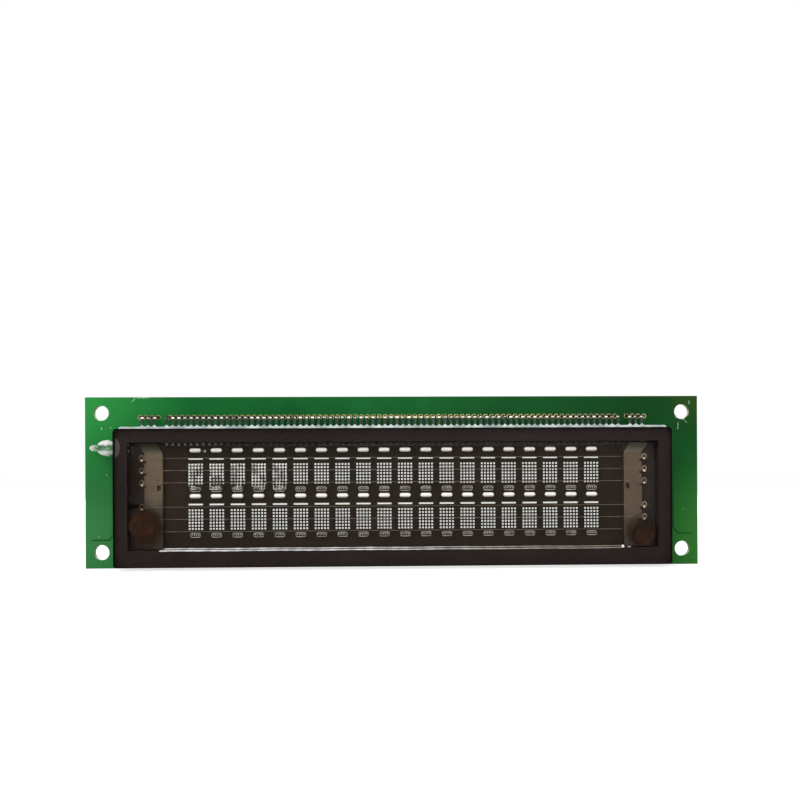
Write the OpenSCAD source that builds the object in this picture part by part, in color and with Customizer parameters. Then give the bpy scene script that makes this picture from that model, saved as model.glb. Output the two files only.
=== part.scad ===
// Vacuum fluorescent display module, two rows of twenty dot characters.
// Millimetres. The display faces -Y, its parts stand on the +Y side of the board, and +Z is up.
// The origin is the middle of the four mounting holes, on the board's front face.

/* [Board] */
// Width of the circuit board
board_w = 155; // [153:0.5:165]
// Height of the circuit board
board_h = 43; // [42:0.5:48]
// Thickness of the circuit board
board_t = 1.6; // [1:0.1:2.4]
// Thickness of the copper lands
copper_t = 0.05; // [0.03:0.01:0.1]

/* [Mounting holes] */
// Diameter of the mounting holes
hole_d = 3.8; // [2.5:0.1:4]
// Distance from the hole centres to the board edges
hole_inset = 4; // [3:0.1:4.5]

/* [Display tube] */
// Width of the glass tube
tube_w = 136.8; // [134:0.2:140]
// Height of the cover glass
cover_h = 33.9; // [33:0.1:35]
// Thickness of the cover glass
cover_t = 1.5; // [1:0.1:2.5]
// Thickness of the base plate
base_t = 2.3; // [1.5:0.1:3]
// Ledge of the base plate past the cover, along the lead edge
lead_ledge = 0.7; // [0.4:0.1:1.2]
// Height of the spacer walls
spacer_h = 2.85; // [2.5:0.05:4]
// Width of the side walls
side_wall = 3; // [2:0.1:3.2]
// Width of the wall on the lead edge
lead_wall = 3.3; // [2:0.1:3.6]
// Width of the wall opposite the leads
far_wall = 4.1; // [2:0.1:4.4]
// Radius of the glass corners
glass_r = 0.9; // [0.3:0.1:2]
// Thickness of the frit between the base plate and the walls
rear_frit_t = 0.35; // [0.3:0.05:0.6]
// Thickness of the frit between the walls and the cover
front_frit_t = 0.2; // [0.1:0.05:0.4]
// Thickness of the black printed layer behind the dots
print_t = 0.1; // [0.05:0.05:0.2]
// Thickness of the foam tape that carries the tube
tape_t = 1.5; // [1.2:0.1:3]
// Width of a foam strip
tape_w = 10; // [5:0.5:15]

/* [Exhaust tip] */
// Diameter of the exhaust bulb
bulb_d = 4; // [3:0.1:4.6]
// Length of the bulb outside the glass
bulb_len = 4.4; // [3:0.1:5]
// Diameter of the drawn-off nub
nub_d = 1.5; // [0.8:0.1:2]
// Length of the drawn-off nub
nub_len = 2.2; // [1:0.1:3]
// Diameter of the neck in the wall
neck_d = 2; // [1:0.1:2.4]
// Distance from the neck to the cover's lead edge
bulb_drop = 4.6; // [4:0.1:8]

/* [Lead pins] */
// Pins in the main row
main_pins = 76; // [60:1:76]
// Pins in each filament group
filament_leads = 3; // [1:1:3]
// Lead holes in each filament group
filament_holes = 4; // [3:1:4]
// Lead pitch
lead_pitch = 1.5; // [1.4:0.01:1.5]
// Width of a lead outside the glass
lead_w = 0.7; // [0.4:0.05:0.9]
// Width of a lead's tail in the board
tail_w = 0.4; // [0.3:0.05:0.5]
// Thickness of the lead strip
lead_t = 0.2; // [0.15:0.01:0.25]
// Distance from the lead holes to the board edge
lead_row_inset = 5.1; // [4.5:0.1:6]
// Distance from the base plate's edge to the lead holes
lead_rise = 2.5; // [2:0.1:3]
// Height above the board at which a lead narrows to its tail
tail_step = 0.9; // [0.5:0.1:1.2]
// Diameter of a lead hole
lead_hole_d = 0.8; // [0.6:0.05:0.9]
// Height of a lead solder joint
joint_h = 0.8; // [0.4:0.1:1.2]

/* [Characters] */
// Characters in a row
chars = 20; // [10:1:20]
// Character pitch
char_pitch = 5.19; // [5:0.01:5.3]
// Distance between the two rows
row_pitch = 11.33; // [11.2:0.01:11.5]
// Dot pitch across
dot_pitch_x = 0.77; // [0.7:0.01:0.8]
// Dot pitch up
dot_pitch_z = 0.77; // [0.7:0.01:0.8]
// Side of a dot
dot_side = 0.44; // [0.4:0.01:0.6]
// Thickness of a dot at its middle
dot_t = 0.06; // [0.04:0.01:0.1]
// Height of a cursor bar
bar_h = 0.4; // [0.3:0.05:0.6]
// Distance from the dots' middle to the cursor bar
bar_rise = 3.75; // [3.4:0.05:4]

/* [Control grids] */
// Width of a grid
grid_w = 4.4; // [4:0.1:4.8]
// Width of a grid's frame
grid_frame = 0.18; // [0.1:0.01:0.25]
// Thickness of the grid metal
grid_t = 0.05; // [0.03:0.01:0.08]
// Height of a grid above the printed layer
grid_lift = 0.5; // [0.3:0.05:0.8]
// Width of a white grid bond
bond_w = 2.8; // [2:0.1:3.4]
// Height of a white grid bond
bond_h = 1.1; // [0.8:0.05:1.2]
// Height of a bond above the grid that it holds
bond_cap = 0.2; // [0.1:0.05:0.4]
// Distance from the dots' middle to the grid bond
bond_rise = 5.8; // [5.4:0.05:5.8]
// Width of a grey grid foot
foot_w = 2.6; // [2:0.1:3.4]
// Height of a grey grid foot
foot_h = 1.2; // [0.8:0.05:1.2]
// Distance from the dots' middle to the grid foot
foot_drop = 3.85; // [3.6:0.05:3.9]

/* [Filaments] */
// Diameter of a filament wire
wire_d = 0.12; // [0.08:0.01:0.2]
// Distance between neighbouring wires of a row
wire_pitch = 3.03; // [2.8:0.01:3.2]
// Distance between the wire groups of the two rows
wire_group = 12.04; // [11.8:0.02:12.4]
// Height of the filament supports above the base plate
support_h = 1.6; // [1.4:0.1:2]
// Width of a filament support
support_w = 4.5; // [3:0.1:4.6]
// Thickness of the support sheet
support_t = 0.2; // [0.1:0.05:0.25]
// Distance from the tube's side to the support's inner edge
support_inset = 11.25; // [11:0.05:11.4]
// Height of a filament spring's loop
spring_h = 1.6; // [1.4:0.1:2]
// Width of a filament spring's loop
spring_w = 1.1; // [0.9:0.1:1.3]

/* [Getters] */
// Radius of the left getter
left_getter_r = 3.4; // [2.5:0.1:3.5]
// Radius of the right getter
right_getter_r = 2.75; // [2:0.05:2.8]
// Thickness of a getter pan
getter_t = 0.6; // [0.3:0.1:0.8]

/* [Header] */
// Contacts in a header row
header_cols = 10; // [5:1:10]
// Header pitch
header_pitch = 2.54; // [2:0.01:2.54]
// Height of the header body
header_h = 2.5; // [2:0.1:4]
// Chamfer of a header cell's corners
cell_chamfer = 0.4; // [0.2:0.05:0.6]
// Side of a header contact
contact_side = 0.64; // [0.5:0.02:0.7]
// Distance from the header's middle to the board edge
header_inset = 5; // [4:0.1:5.4]
// Depth of a contact below the header's top
contact_sink = 0.6; // [0.3:0.1:1]

/* [Controller] */
// Side of the controller body
controller_side = 10; // [9:0.1:10.4]
// Height of the controller body
controller_h = 2; // [1.4:0.1:2.4]
// Span across the controller's leads
controller_span = 13.9; // [13:0.1:14]
// Leads on each side of the controller
controller_pins = 11; // [8:1:11]
// Lead pitch of the controller
controller_pitch = 0.8; // [0.7:0.01:0.8]

/* [Drivers] */
// Width of a driver body
driver_w = 13.6; // [13:0.1:14]
// Length of a driver body
driver_len = 19.8; // [19.6:0.1:20.4]
// Height of a driver body
driver_h = 2.3; // [1.8:0.1:2.6]
// Span across a driver's leads
driver_span = 19.8; // [18:0.1:20]
// Leads on each side of a driver
driver_pins = 30; // [20:1:30]

/* [Small logic chips] */
// Pitch of the fine leads
fine_pitch = 0.65; // [0.6:0.01:0.65]
// Width of the fine leads
fine_lead_w = 0.3; // [0.2:0.02:0.34]
// Thickness of the chip lead frames
frame_t = 0.15; // [0.1:0.01:0.2]
// Width of the logic bodies
logic_w = 5; // [4.4:0.1:5.3]
// Height of the logic bodies
logic_h = 1.5; // [1:0.1:1.8]
// Span across the logic leads
logic_span = 7.8; // [7:0.1:8]
// Length of the buffer body
buffer_len = 6.9; // [6.6:0.1:7.2]
// Leads on each side of the buffer
buffer_pins = 10; // [8:1:10]
// Length of a gate body
gate_len = 5.1; // [4.9:0.1:5.3]
// Leads on each side of a gate
gate_pins = 7; // [4:1:7]

/* [Capacitors] */
// Diameter of a capacitor can
can_d = 8; // [6.3:0.1:8]
// Height of a capacitor from the board
can_h = 6.5; // [5.4:0.1:10]
// Side of a capacitor base
can_base_side = 8.3; // [8.1:0.1:8.6]
// Height of a capacitor base
can_base_h = 1; // [0.6:0.1:1.6]
// Distance between the capacitors
can_pitch = 9; // [8.8:0.1:9.4]

/* [Regulator] */
// Width of the regulator body
reg_w = 6.6; // [6:0.1:6.8]
// Length of the regulator body
reg_len = 6.2; // [5.6:0.1:6.4]
// Height of the regulator body above its tab
reg_h = 1.8; // [1.4:0.1:2.2]
// Thickness of the regulator tab
reg_tab_t = 0.5; // [0.4:0.05:0.6]
// Reach of the tab past the body
reg_tab_reach = 1.7; // [1:0.1:2]

/* [Transformer] */
// Width of the transformer core
core_w = 11.3; // [10.8:0.1:12]
// Depth of the transformer core
core_d = 6; // [5:0.1:6.2]
// Height of the transformer core
core_h = 7.6; // [7:0.1:9]
// Thickness of the core's yokes
yoke_t = 1.6; // [1.2:0.1:2]
// Width of the core's middle leg
core_leg = 3.4; // [3:0.1:3.6]
// Width of each core window
core_window = 2.5; // [2.2:0.1:2.8]
// Pins on each side of the transformer
trafo_pins = 5; // [3:1:5]
// Pitch of the transformer pins
trafo_pitch = 2; // [1.8:0.1:2]
// Span across the transformer pins
trafo_span = 14.4; // [13:0.1:15]
// Span across the bobbin's rails
rail_span = 9.5; // [9:0.1:10.5]

/* [Chips] */
// Length of a chip component
chip_len = 2; // [1.6:0.1:2.2]
// Width of a chip component
chip_w = 1.25; // [0.8:0.05:1.3]
// Height of a chip capacitor
chip_cap_h = 0.9; // [0.5:0.05:1.1]
// Height of a chip resistor
chip_res_h = 0.55; // [0.4:0.05:0.7]
// Length of a chip's end cap
cap_len = 0.4; // [0.25:0.05:0.5]
// Length of the large chip capacitor
large_chip_len = 3.2; // [3:0.1:3.4]
// Width of the large chip capacitor
large_chip_w = 1.6; // [1.4:0.1:1.8]

/* [Tape and label] */
// Thickness of the amber tape
film_t = 0.06; // [0.04:0.01:0.1]
// Width of the paper label
label_w = 18.5; // [15:0.5:19]
// Height of the paper label
label_h = 6.2; // [5:0.1:6.3]
// Thickness of the paper label
label_t = 0.1; // [0.05:0.01:0.2]

/* [Hidden] */
$fn = 32;

// Places of the parts on the component side: x, and up as that side is read
header_at = [-39.2, board_h / 2 - header_inset];
controller_at = [-48, 3];
left_driver_at = [-6.5, 2.8];
right_driver_at = [17.3, 2.8];
buffer_at = [-61.9, 1.55];
gates_at = [[-64.4, 11.5], [-33.35, 2.85]];
cans_at = [43.9, 13];
reg_at = [63.6, 10.6];
trafo_at = [63.5, -6.1];
reset_at = [-34, -9.2];
transistors_at = [[38.5, 2.1], [46.2, 2.1], [39, -6.1], [42.6, -6.1], [46.2, -6.1], [49.8, -6.1],
    [54.2, -6.1]];
tantalum_at = [50.5, 2.2];
// Places and turns of the chip components
chip_caps_at = [[-62.5, 15.6, 0], [-60, 6.6, 0], [-56.8, 10.2, 90], [-31.1, 6.9, 0], [2, 14.4, 0],
    [25.2, 14.4, 0], [29.3, 12.3, 90], [-25.8, -0.5, 90], [41.2, 1.7, 90], [36, -6.2, 90],
    [-42.5, -9.8, 90]];
chip_res_at = [[-23.8, -0.5, 90], [-21.9, -0.5, 90], [43.4, 1.7, 90], [53.3, 1.7, 90], [55.4, 1.7, 90],
    [-50.6, -7.2, 0], [-44.7, -9.8, 90]];
large_chip_at = [35.3, 2.5, 90];
arrays_at = [[-22.9, 6.7], [-63.1, -6.9]];
resonator_at = [-50.6, -9.9];
empty_pads_at = [[-39.5, -6.9], [-39.5, -10.1]];
test_points_at = [[47.5, 18.7], [72.7, -10], [-73.2, -5.2], [-73.3, -11.1]];
fiducials_at = [[-75.6, 13], [-68.2, -16.8], [73.1, 12.1]];
jumpers_at = [[-65.9, -12], [-63.4, -12], [-60.9, -12]];
tape_low = [-57.5, -12.3];
tape_high = [-36.7, -4.3];
tape_ridge_low = [-53.2, -11.4];
tape_ridge_high = [-41.2, -6.2];
label_at = [14.3, 17.5];
label_turn = 5;
film_clear = 0.02;

// Heights above the board's front face, as the tube is stacked
base_z = tape_t;
glass_z = base_z + base_t;
walls_z = glass_z + rear_frit_t;
front_frit_z = walls_z + spacer_h;
cover_z = front_frit_z + front_frit_t;
print_z = glass_z + print_t;
grid_z = print_z + grid_lift;
plate_z = glass_z + support_h;

// Outlines of the tube, seen from the front
tube_x = 0.2;
lead_row = board_h / 2 - lead_row_inset;
ledge_top = lead_row - lead_rise;
cover_top = ledge_top - lead_ledge;
cover_low = cover_top - cover_h;
tube_mid = (cover_top + cover_low) / 2;
chamber_top = cover_top - lead_wall;
chamber_low = cover_low + far_wall;
chamber_w = tube_w - 2 * side_wall;
support_in = tube_w / 2 - support_inset;
lead_in = 0.8;
contact_w = 0.5;
contact_h = 0.6;
contact_t = 0.12;
contact_inset = 0.1;
print_margin = 0.3;
foam_clear = 0.4;
frit_peak_w = 1.2;
frit_peak_h = 0.45;
frit_peak_root = 0.1;
bulb_shoulder = 0.4;
nub_straight = 0.7;
over_cut = 1;

// Positions of the leads along their row
// As many leads of the main row as the room between the supports takes
lead_clear = 0.4;
main_room = 2 * (support_in - lead_clear) - lead_w;
main_count = min(main_pins, floor(main_room / lead_pitch) + 1);
main_span = (main_count - 1) * lead_pitch;
main_x = [for (i = [0 : main_count - 1]) i * lead_pitch - main_span / 2];
group_start = main_span / 2 + 2 * lead_pitch;
filament_x = [for (side = [-1, 1]) for (i = [0 : filament_leads - 1])
    side * (group_start + i * lead_pitch)];
group_hole_x = [for (side = [-1, 1]) for (i = [0 : filament_holes - 1])
    side * (group_start + i * lead_pitch)];
lead_tip = 0.95;
lead_bend = 0.8;
joint_r = 0.58;
joint_tip_r = 0.34;
tail_clear = 0.01;
joint_bore_r = norm([tail_w, lead_t]) / 2 + tail_clear;
joint_rim = 0.15;
joint_waist = 0.5;
bridge_w = 0.9;
bridge_h = 0.35;
ring_w = 0.22;

// Characters
chars_shift = -0.1;
chars_x = tube_x + chars_shift;
// As many characters as the room between the supports takes
char_room = 2 * (support_in - abs(chars_shift)) - grid_w;
char_count = min(chars, floor(char_room / char_pitch) + 1);
char_x = [for (i = [0 : char_count - 1]) chars_x + (i - (char_count - 1) / 2) * char_pitch];
// The rows share the room between the leads' inner ends and the far wall
rows_top = row_pitch / 2 + bond_rise + bond_h / 2;
rows_low = row_pitch / 2 + foot_drop + foot_h / 2;
rows_room = chamber_top - lead_in - chamber_low - rows_top - rows_low;
rows_share = 0.17;
rows_mid = chamber_top - lead_in - rows_top - rows_room * rows_share;
row_z = [rows_mid + row_pitch / 2, rows_mid - row_pitch / 2];
dot_cols = 5;
dot_rows = 7;
bar_w = (dot_cols - 1) * dot_pitch_x + dot_side;
bar_t = 0.06;
grid_over = 0.3;
bond_round = 0.3;
bond_top = grid_lift + grid_t + bond_cap;

// Filaments, supports and getters
support_foot = 1.4;
support_gap = 0.25;
support_lean = 1.7;
support_slope = 2.4;
support_toe = 0.5;
support_fold = 0.01;
notch_w = 0.5;
notch_depth = 0.6;
notch_drop = 0.95;
notch_over = 0.1;
slot_w = 0.9;
slot_h = 1.3;
slot_in = 0.4;
slot_rise = 1.7;
finger_w = 0.25;
finger_h = 0.2;
spring_gap = 0.15;
spring_line = 0.28;
spring_t = 0.15;
spring_tab_w = 0.5;
spring_z = plate_z - support_t;
wire_z = plate_z + wire_d / 2;
wire_shift = 0.5;
wire_mid = rows_mid + wire_shift;
wire_up = [for (row = [1, -1]) for (i = [1, 0, -1]) wire_mid + row * wire_group / 2 + i * wire_pitch];
wire_end = support_in + support_w;
getter_gap = 0.2;
left_getter_drop = 6.8;
left_getter_at = [tube_x - chamber_w / 2 + left_getter_r + getter_gap, tube_mid - left_getter_drop];
right_getter_in = 0.8;
right_getter_at = [tube_x + chamber_w / 2 - right_getter_r - right_getter_in,
    chamber_low + right_getter_r + getter_gap];
getter_lift = 0.6;
getter_z = plate_z + getter_lift;
getter_post_r = 0.4;
getter_post_out = 1.7;
getter_dish_r = 0.45;

// Header
cell = header_pitch;
header_x = [for (i = [0 : header_cols - 1]) (i - (header_cols - 1) / 2) * header_pitch];
header_y = [-header_pitch / 2, header_pitch / 2];
header_hole_clear = 0.1;
header_hole_d = norm([contact_side, contact_side]) + header_hole_clear;
header_tail = 0.9;
header_joint_r = 0.85;
header_joint_tip_r = contact_side * 0.8;
header_joint_h = 0.7;

// Chip packages
standoff = 0.1;
draft = 0.25;
foot_len = 0.6;
shoulder_share = 0.35;
bend_skew = 0.6;
land_over = 0.15;
land_side = 0.04;
controller_lead_w = 0.36;
dimple_r = 0.8;
dimple_depth = 0.15;
driver_dimples = [[-4.2, 7.2], [4, -6.9]];
controller_dimple = [-3.4, 3.4];
logic_dimple = [-1.6, 1.2];
logic_dimple_r = 0.4;

// Capacitors
can_places = [for (i = [-1, 0, 1]) cans_at + [i * can_pitch, 0]];
can_lip = 0.7;
can_groove = 0.35;
can_groove_z = 1.2;
can_groove_h = 0.5;
base_chamfer = 2;
tab_w = 0.7;
tab_reach = 0.9;
tab_t = 0.2;

// Regulator
reg_tab_w = 5.4;
reg_tab_in = 4.2;
reg_tab_chamfer = 0.9;
reg_leg_w = 0.8;
reg_leg_pitch = 4.6;
reg_leg_reach = 2.9;
reg_leg_foot = 1.5;
reg_stub = 0.6;
reg_draft = 0.35;
reg_dimple_r = 0.6;

// Transformer
core_lift = 0.35;
core_z = copper_t + core_lift;
window_z = core_z + yoke_t;
window_h = core_h - 2 * yoke_t;
spool_wall = 0.45;
spool_gap = 0.05;
flange_t = 0.5;
flange_w = core_leg + 2 * core_window - 2 * spool_gap;
rail_short = 0.7;
rail_w = core_w - rail_short;
rail_d = (rail_span - core_d) / 2 - spool_gap;
wind_inset = 0.3;
wind_w = core_leg + 2 * (core_window - wind_inset);
wind_d = rail_span - 2 * wind_inset;
trafo_pin_w = 0.7;
trafo_pin_t = 0.3;
trafo_foot = 1.2;
trafo_rise = 0.8;

// Small packages
small_w = 2.9;
small_d = 1.3;
small_h = 1;
small_span = 2.5;
small_lead_w = 0.42;
small_pitch = 1.9;
small_foot = 0.3;
small_draft = 0.1;
reset_w = 4.4;
reset_d = 2.6;
reset_h = 1.5;
reset_band_z = 0.01;
reset_pitch = 1.5;
reset_lead_w = 0.45;
reset_reach = 1;
reset_tab_w = 1.7;
reset_tab_reach = 0.8;
reset_lead_t = 0.4;
tantalum_w = 3.6;
tantalum_d = 5.6;
tantalum_h = 2.6;
tantalum_t = 0.15;
tantalum_term_w = 2.2;
tantalum_term_h = 1.2;
tantalum_draft = 0.15;
tantalum_band_z = 0.2;
array_len = 3.2;
array_w = 1.5;
array_h = 0.55;
array_pins = 4;
array_pitch = 0.8;
array_cap_w = 0.4;
array_cap_len = 0.25;
resonator_len = 3.8;
resonator_w = 1.8;
resonator_h = 1.1;
resonator_bands = 3;
resonator_pitch = 1.4;
resonator_band_w = 0.5;
resonator_band_t = 0.04;

// Lands
test_r = 0.62;
fiducial_r = 0.5;
jumper_w = 1.3;
jumper_h = 1.5;
jumper_gap = 0.35;
empty_pad = [2.7, 2.1];
chip_land = 0.25;

// Stands its children on the board's front face, seen from the front
module front_side() {
    rotate([90, 0, 0]) children();
}

// Stands its children on the board's back face, read with the header at the top
module back_side() {
    translate([0, board_t, 0]) rotate([-90, 0, 0]) children();
}

module at(place) {
    translate([place[0], place[1], 0]) children();
}

module turned_at(place) {
    translate([place[0], place[1], 0]) rotate(place[2]) children();
}

// A block centred on its place, standing from height z
module block(size, z = 0) {
    translate([-size[0] / 2, -size[1] / 2, z]) cube(size);
}

// A plate outline with round corners, centred
module plate_outline(w, h, r) {
    square([w - 2 * r, h], center = true);
    square([w, h - 2 * r], center = true);
    for (x = [-1, 1], y = [-1, 1]) translate([x * (w / 2 - r), y * (h / 2 - r)]) circle(r);
}

// A slot outline with half-round ends
module slot_outline(w, h) {
    square([w - h, h], center = true);
    for (x = [-1, 1]) translate([x * (w - h) / 2, 0]) circle(h / 2);
}

// Side profile of a moulded package: drafted faces above and below a flat parting band
module moulded_profile(w, h, slope, band_z, band_h) {
    polygon([[-w / 2 + slope, 0], [w / 2 - slope, 0], [w / 2, band_z], [w / 2, band_z + band_h],
        [w / 2 - slope, h], [-w / 2 + slope, h], [-w / 2, band_z + band_h], [-w / 2, band_z]]);
}

// A moulded package body, standing on z = 0
module moulded(w, d, h, slope, band_z, band_h) {
    intersection() {
        rotate([90, 0, 0]) linear_extrude(d, center = true) moulded_profile(w, h, slope, band_z, band_h);
        rotate([90, 0, 90]) linear_extrude(w, center = true) moulded_profile(d, h, slope, band_z, band_h);
    }
}

// A gull-wing lead that leaves a package towards +Y at height rise and ends in a flat foot
module gull_lead(reach, foot, rise, width, thick) {
    knee = reach - foot;
    shoulder = knee * shoulder_share;
    skew = thick * bend_skew;
    rotate([90, 0, 90]) linear_extrude(width, center = true)
        polygon([[0, rise], [0, rise + thick], [shoulder + skew, rise + thick], [knee + skew, thick],
            [reach, thick], [reach, 0], [knee, 0], [shoulder, rise]]);
}

module row(count, pitch) {
    for (i = [0 : count - 1]) translate([(i - (count - 1) / 2) * pitch, 0, 0]) children();
}

// Repeats its children on the named sides of a package, depth apart
module on_sides(angles, depth) {
    for (a = angles) rotate(a) translate([0, depth / 2, 0]) children();
}

// The leads of a chip package and the lands under them
module chip_leads(body, span, height, angles, count, pitch, width) {
    band = standoff + (height - frame_t) / 2;
    translate([0, 0, copper_t]) on_sides(angles, body) row(count, pitch)
        gull_lead((span - body) / 2, foot_len, band, width, frame_t);
}

module chip_lands(body, span, angles, count, pitch, width) {
    reach = (span - body) / 2;
    on_sides(angles, body) row(count, pitch) translate([0, reach - foot_len / 2, 0])
        block([width + 2 * land_side, foot_len + 2 * land_over, copper_t]);
}

module chip_body(w, d, height, marks, mark_r) {
    translate([0, 0, copper_t + standoff]) difference() {
        moulded(w, d, height, draft, (height - frame_t) / 2, frame_t);
        for (m = marks) translate([m[0], m[1], height - dimple_depth]) cylinder(r = mark_r, h = over_cut);
    }
}

four_sides = [0, 90, 180, 270];
two_sides = [90, 270];

// Circuit board with its mounting holes, lead holes and header holes
module circuit_board() color([0.10, 0.42, 0.20]) front_side() translate([0, 0, -board_t])
    linear_extrude(board_t) difference() {
        square([board_w, board_h], center = true);
        for (x = [-1, 1], y = [-1, 1])
            translate([x * (board_w / 2 - hole_inset), y * (board_h / 2 - hole_inset)]) circle(d = hole_d);
        for (x = concat(main_x, group_hole_x)) translate([x, lead_row]) circle(d = lead_hole_d);
        for (x = header_x, y = header_y)
            translate([header_at[0] + x, -header_at[1] + y]) circle(d = header_hole_d);
    }

// Bare and soldered copper: lead rings in front, chip lands, pads, test points and jumpers behind
module copper_lands() color([0.80, 0.62, 0.30]) {
    front_side() linear_extrude(copper_t) for (x = concat(main_x, group_hole_x)) translate([x, lead_row])
        difference() {
            circle(d = lead_hole_d + 2 * ring_w);
            circle(d = lead_hole_d);
        }
    back_side() {
        at(controller_at) chip_lands(controller_side, controller_span, four_sides, controller_pins,
            controller_pitch, controller_lead_w);
        for (place = [left_driver_at, right_driver_at]) at(place)
            chip_lands(driver_w, driver_span, two_sides, driver_pins, fine_pitch, fine_lead_w);
        at(buffer_at) chip_lands(logic_w, logic_span, two_sides, buffer_pins, fine_pitch, fine_lead_w);
        for (place = gates_at) at(place)
            chip_lands(logic_w, logic_span, two_sides, gate_pins, fine_pitch, fine_lead_w);
        for (place = concat(chip_caps_at, chip_res_at)) turned_at(place) chip_pads(chip_len, chip_w);
        turned_at(large_chip_at) chip_pads(large_chip_len, large_chip_w);
        for (place = empty_pads_at) at(place) block([empty_pad[0], empty_pad[1], copper_t]);
        for (place = test_points_at) at(place) cylinder(r = test_r, h = copper_t);
        for (place = fiducials_at) at(place) cylinder(r = fiducial_r, h = copper_t);
        for (place = jumpers_at) at(place) for (side = [-1, 1])
            translate([0, side * (jumper_h + jumper_gap) / 2, 0]) block([jumper_w, jumper_h, copper_t]);
        at(trafo_at) on_sides([0, 180], rail_span) row(trafo_pins, trafo_pitch)
            translate([0, (trafo_span - rail_span - trafo_foot) / 2, 0])
                block([trafo_pin_w + 2 * land_over, trafo_foot + 2 * land_over, copper_t]);
        for (place = transistors_at) at(place) small_lands();
        at(reset_at) reset_outline(copper_t);
        at(tantalum_at) for (side = [-1, 1]) translate([0, side * tantalum_d / 2, 0])
            block([tantalum_term_w + 2 * land_over, 2 * tantalum_term_h, copper_t]);
        for (place = can_places) at(place) for (side = [-1, 1])
            translate([0, side * (can_base_side / 2 + tab_reach / 2), 0])
                block([tab_w + 2 * land_over, tab_reach + 2 * land_over, copper_t]);
        at(reg_at) reg_lands();
        for (place = arrays_at) at(place) for (side = [-1, 1]) row(array_pins, array_pitch)
            translate([0, side * (array_w / 2 - array_cap_len / 2), 0])
                block([array_cap_w, array_cap_len + land_over, copper_t]);
        at(resonator_at) row(resonator_bands, resonator_pitch)
            block([resonator_band_w, resonator_w + 2 * land_over, copper_t]);
    }
}

module chip_pads(len, w) {
    for (side = [-1, 1]) translate([side * (len - cap_len) / 2, 0, 0])
        block([cap_len + chip_land, w + 2 * land_side, copper_t]);
}

module small_lands() {
    reach = (small_span - small_d) / 2;
    for (lead = [[0, 1], [-small_pitch / 2, -1], [small_pitch / 2, -1]])
        translate([lead[0], lead[1] * (small_d / 2 + reach - small_foot / 2), 0])
            block([small_lead_w + 2 * land_side, small_foot + 2 * land_over, copper_t]);
}

module reg_lands() {
    translate([0, reg_len / 2 + (reg_tab_reach - reg_tab_in) / 2, 0])
        block([reg_tab_w + 2 * land_over, reg_tab_reach + reg_tab_in + 2 * land_over, copper_t]);
    row(2, reg_leg_pitch) translate([0, -reg_len / 2 - reg_leg_reach + reg_leg_foot / 2, 0])
        block([reg_leg_w + 2 * land_over, reg_leg_foot + 2 * land_over, copper_t]);
}

// Solder: a fillet round every lead tail, bridges across the filament groups, and the header's joints
module solder_joints() color([0.78, 0.78, 0.76]) {
    back_side() translate([0, -lead_row, 0]) {
        for (x = main_x) translate([x, 0, 0]) fillet(joint_r, joint_tip_r, joint_h, joint_bore_r);
        for (side = [-1, 1]) filament_bridge(side);
    }
    front_side() for (x = header_x, y = header_y) translate([header_at[0] + x, -header_at[1] + y, 0])
        fillet(header_joint_r, header_joint_tip_r, header_joint_h, header_hole_d / 2);
}

module fillet(foot_r, tip_r, h, bore_r) {
    rotate_extrude() polygon([[bore_r, 0], [foot_r, 0], [foot_r, h * joint_rim],
        [(foot_r + tip_r) / 2, h * joint_waist], [tip_r, h], [bore_r, h]]);
}

module filament_bridge(side) {
    middle = group_start + (filament_holes - 1) * lead_pitch / 2;
    difference() {
        union() {
            translate([side * middle, 0, 0]) linear_extrude(bridge_h)
                slot_outline((filament_holes - 1) * lead_pitch + bridge_w, bridge_w);
            for (i = [0 : filament_holes - 1]) translate([side * (group_start + i * lead_pitch), 0, 0])
                cylinder(r1 = joint_r, r2 = joint_tip_r, h = joint_h);
        }
        for (i = [0 : filament_leads - 1]) translate([side * (group_start + i * lead_pitch), 0, -over_cut])
            cylinder(r = joint_bore_r, h = joint_h + 2 * over_cut);
    }
}

// Strips of foam tape between the board and the tube, clear of the header's tails
module foam_tape() color([0.85, 0.84, 0.80]) front_side() difference() {
    translate([tube_x, tube_mid, 0]) for (x = [-1, 0, 1]) translate([x * (tube_w / 2 - tape_w), 0, 0])
        block([tape_w, cover_h - 2 * far_wall, tape_t]);
    translate([header_at[0], -header_at[1], 0]) block([header_cols * header_pitch + 2 * foam_clear,
        2 * (header_pitch + foam_clear), tape_t + 2 * over_cut], -over_cut);
}

module tube_plate(top, thick) {
    height = top - cover_low;
    translate([tube_x, cover_low + height / 2, 0]) linear_extrude(thick)
        plate_outline(tube_w, height, glass_r);
}

// Outline of a tube plate less the chamber
module wall_outline(top) {
    height = top - cover_low;
    difference() {
        translate([tube_x, cover_low + height / 2]) plate_outline(tube_w, height, glass_r);
        translate([tube_x - chamber_w / 2, chamber_low]) square([chamber_w, chamber_top - chamber_low]);
    }
}

// Rear glass plate that carries the wiring, dots and leads
module base_plate() color([0.12, 0.12, 0.12]) front_side() translate([0, 0, base_z])
    tube_plate(ledge_top, base_t);

// Black insulation printed on the base plate
module printed_layer() color([0.05, 0.05, 0.05]) front_side()
    translate([tube_x - support_in + print_margin, chamber_low + print_margin, glass_z])
        cube([2 * (support_in - print_margin), chamber_top - lead_in - chamber_low - 2 * print_margin,
            print_t]);

// Glass walls of the tube, bored for the exhaust tip
module spacer_walls() color([0.30, 0.32, 0.32]) front_side() difference() {
    translate([0, 0, walls_z]) linear_extrude(spacer_h) wall_outline(cover_top);
    exhaust_place() cylinder(d = neck_d, h = 3 * side_wall, center = true);
}

module exhaust_place() {
    translate([tube_x - tube_w / 2, cover_top - bulb_drop, walls_z + spacer_h / 2]) rotate([0, -90, 0])
        children();
}

// Front glass plate
module cover_glass() color([0.20, 0.20, 0.22, 0.45]) front_side() translate([0, 0, cover_z])
    tube_plate(cover_top, cover_t);

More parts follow.
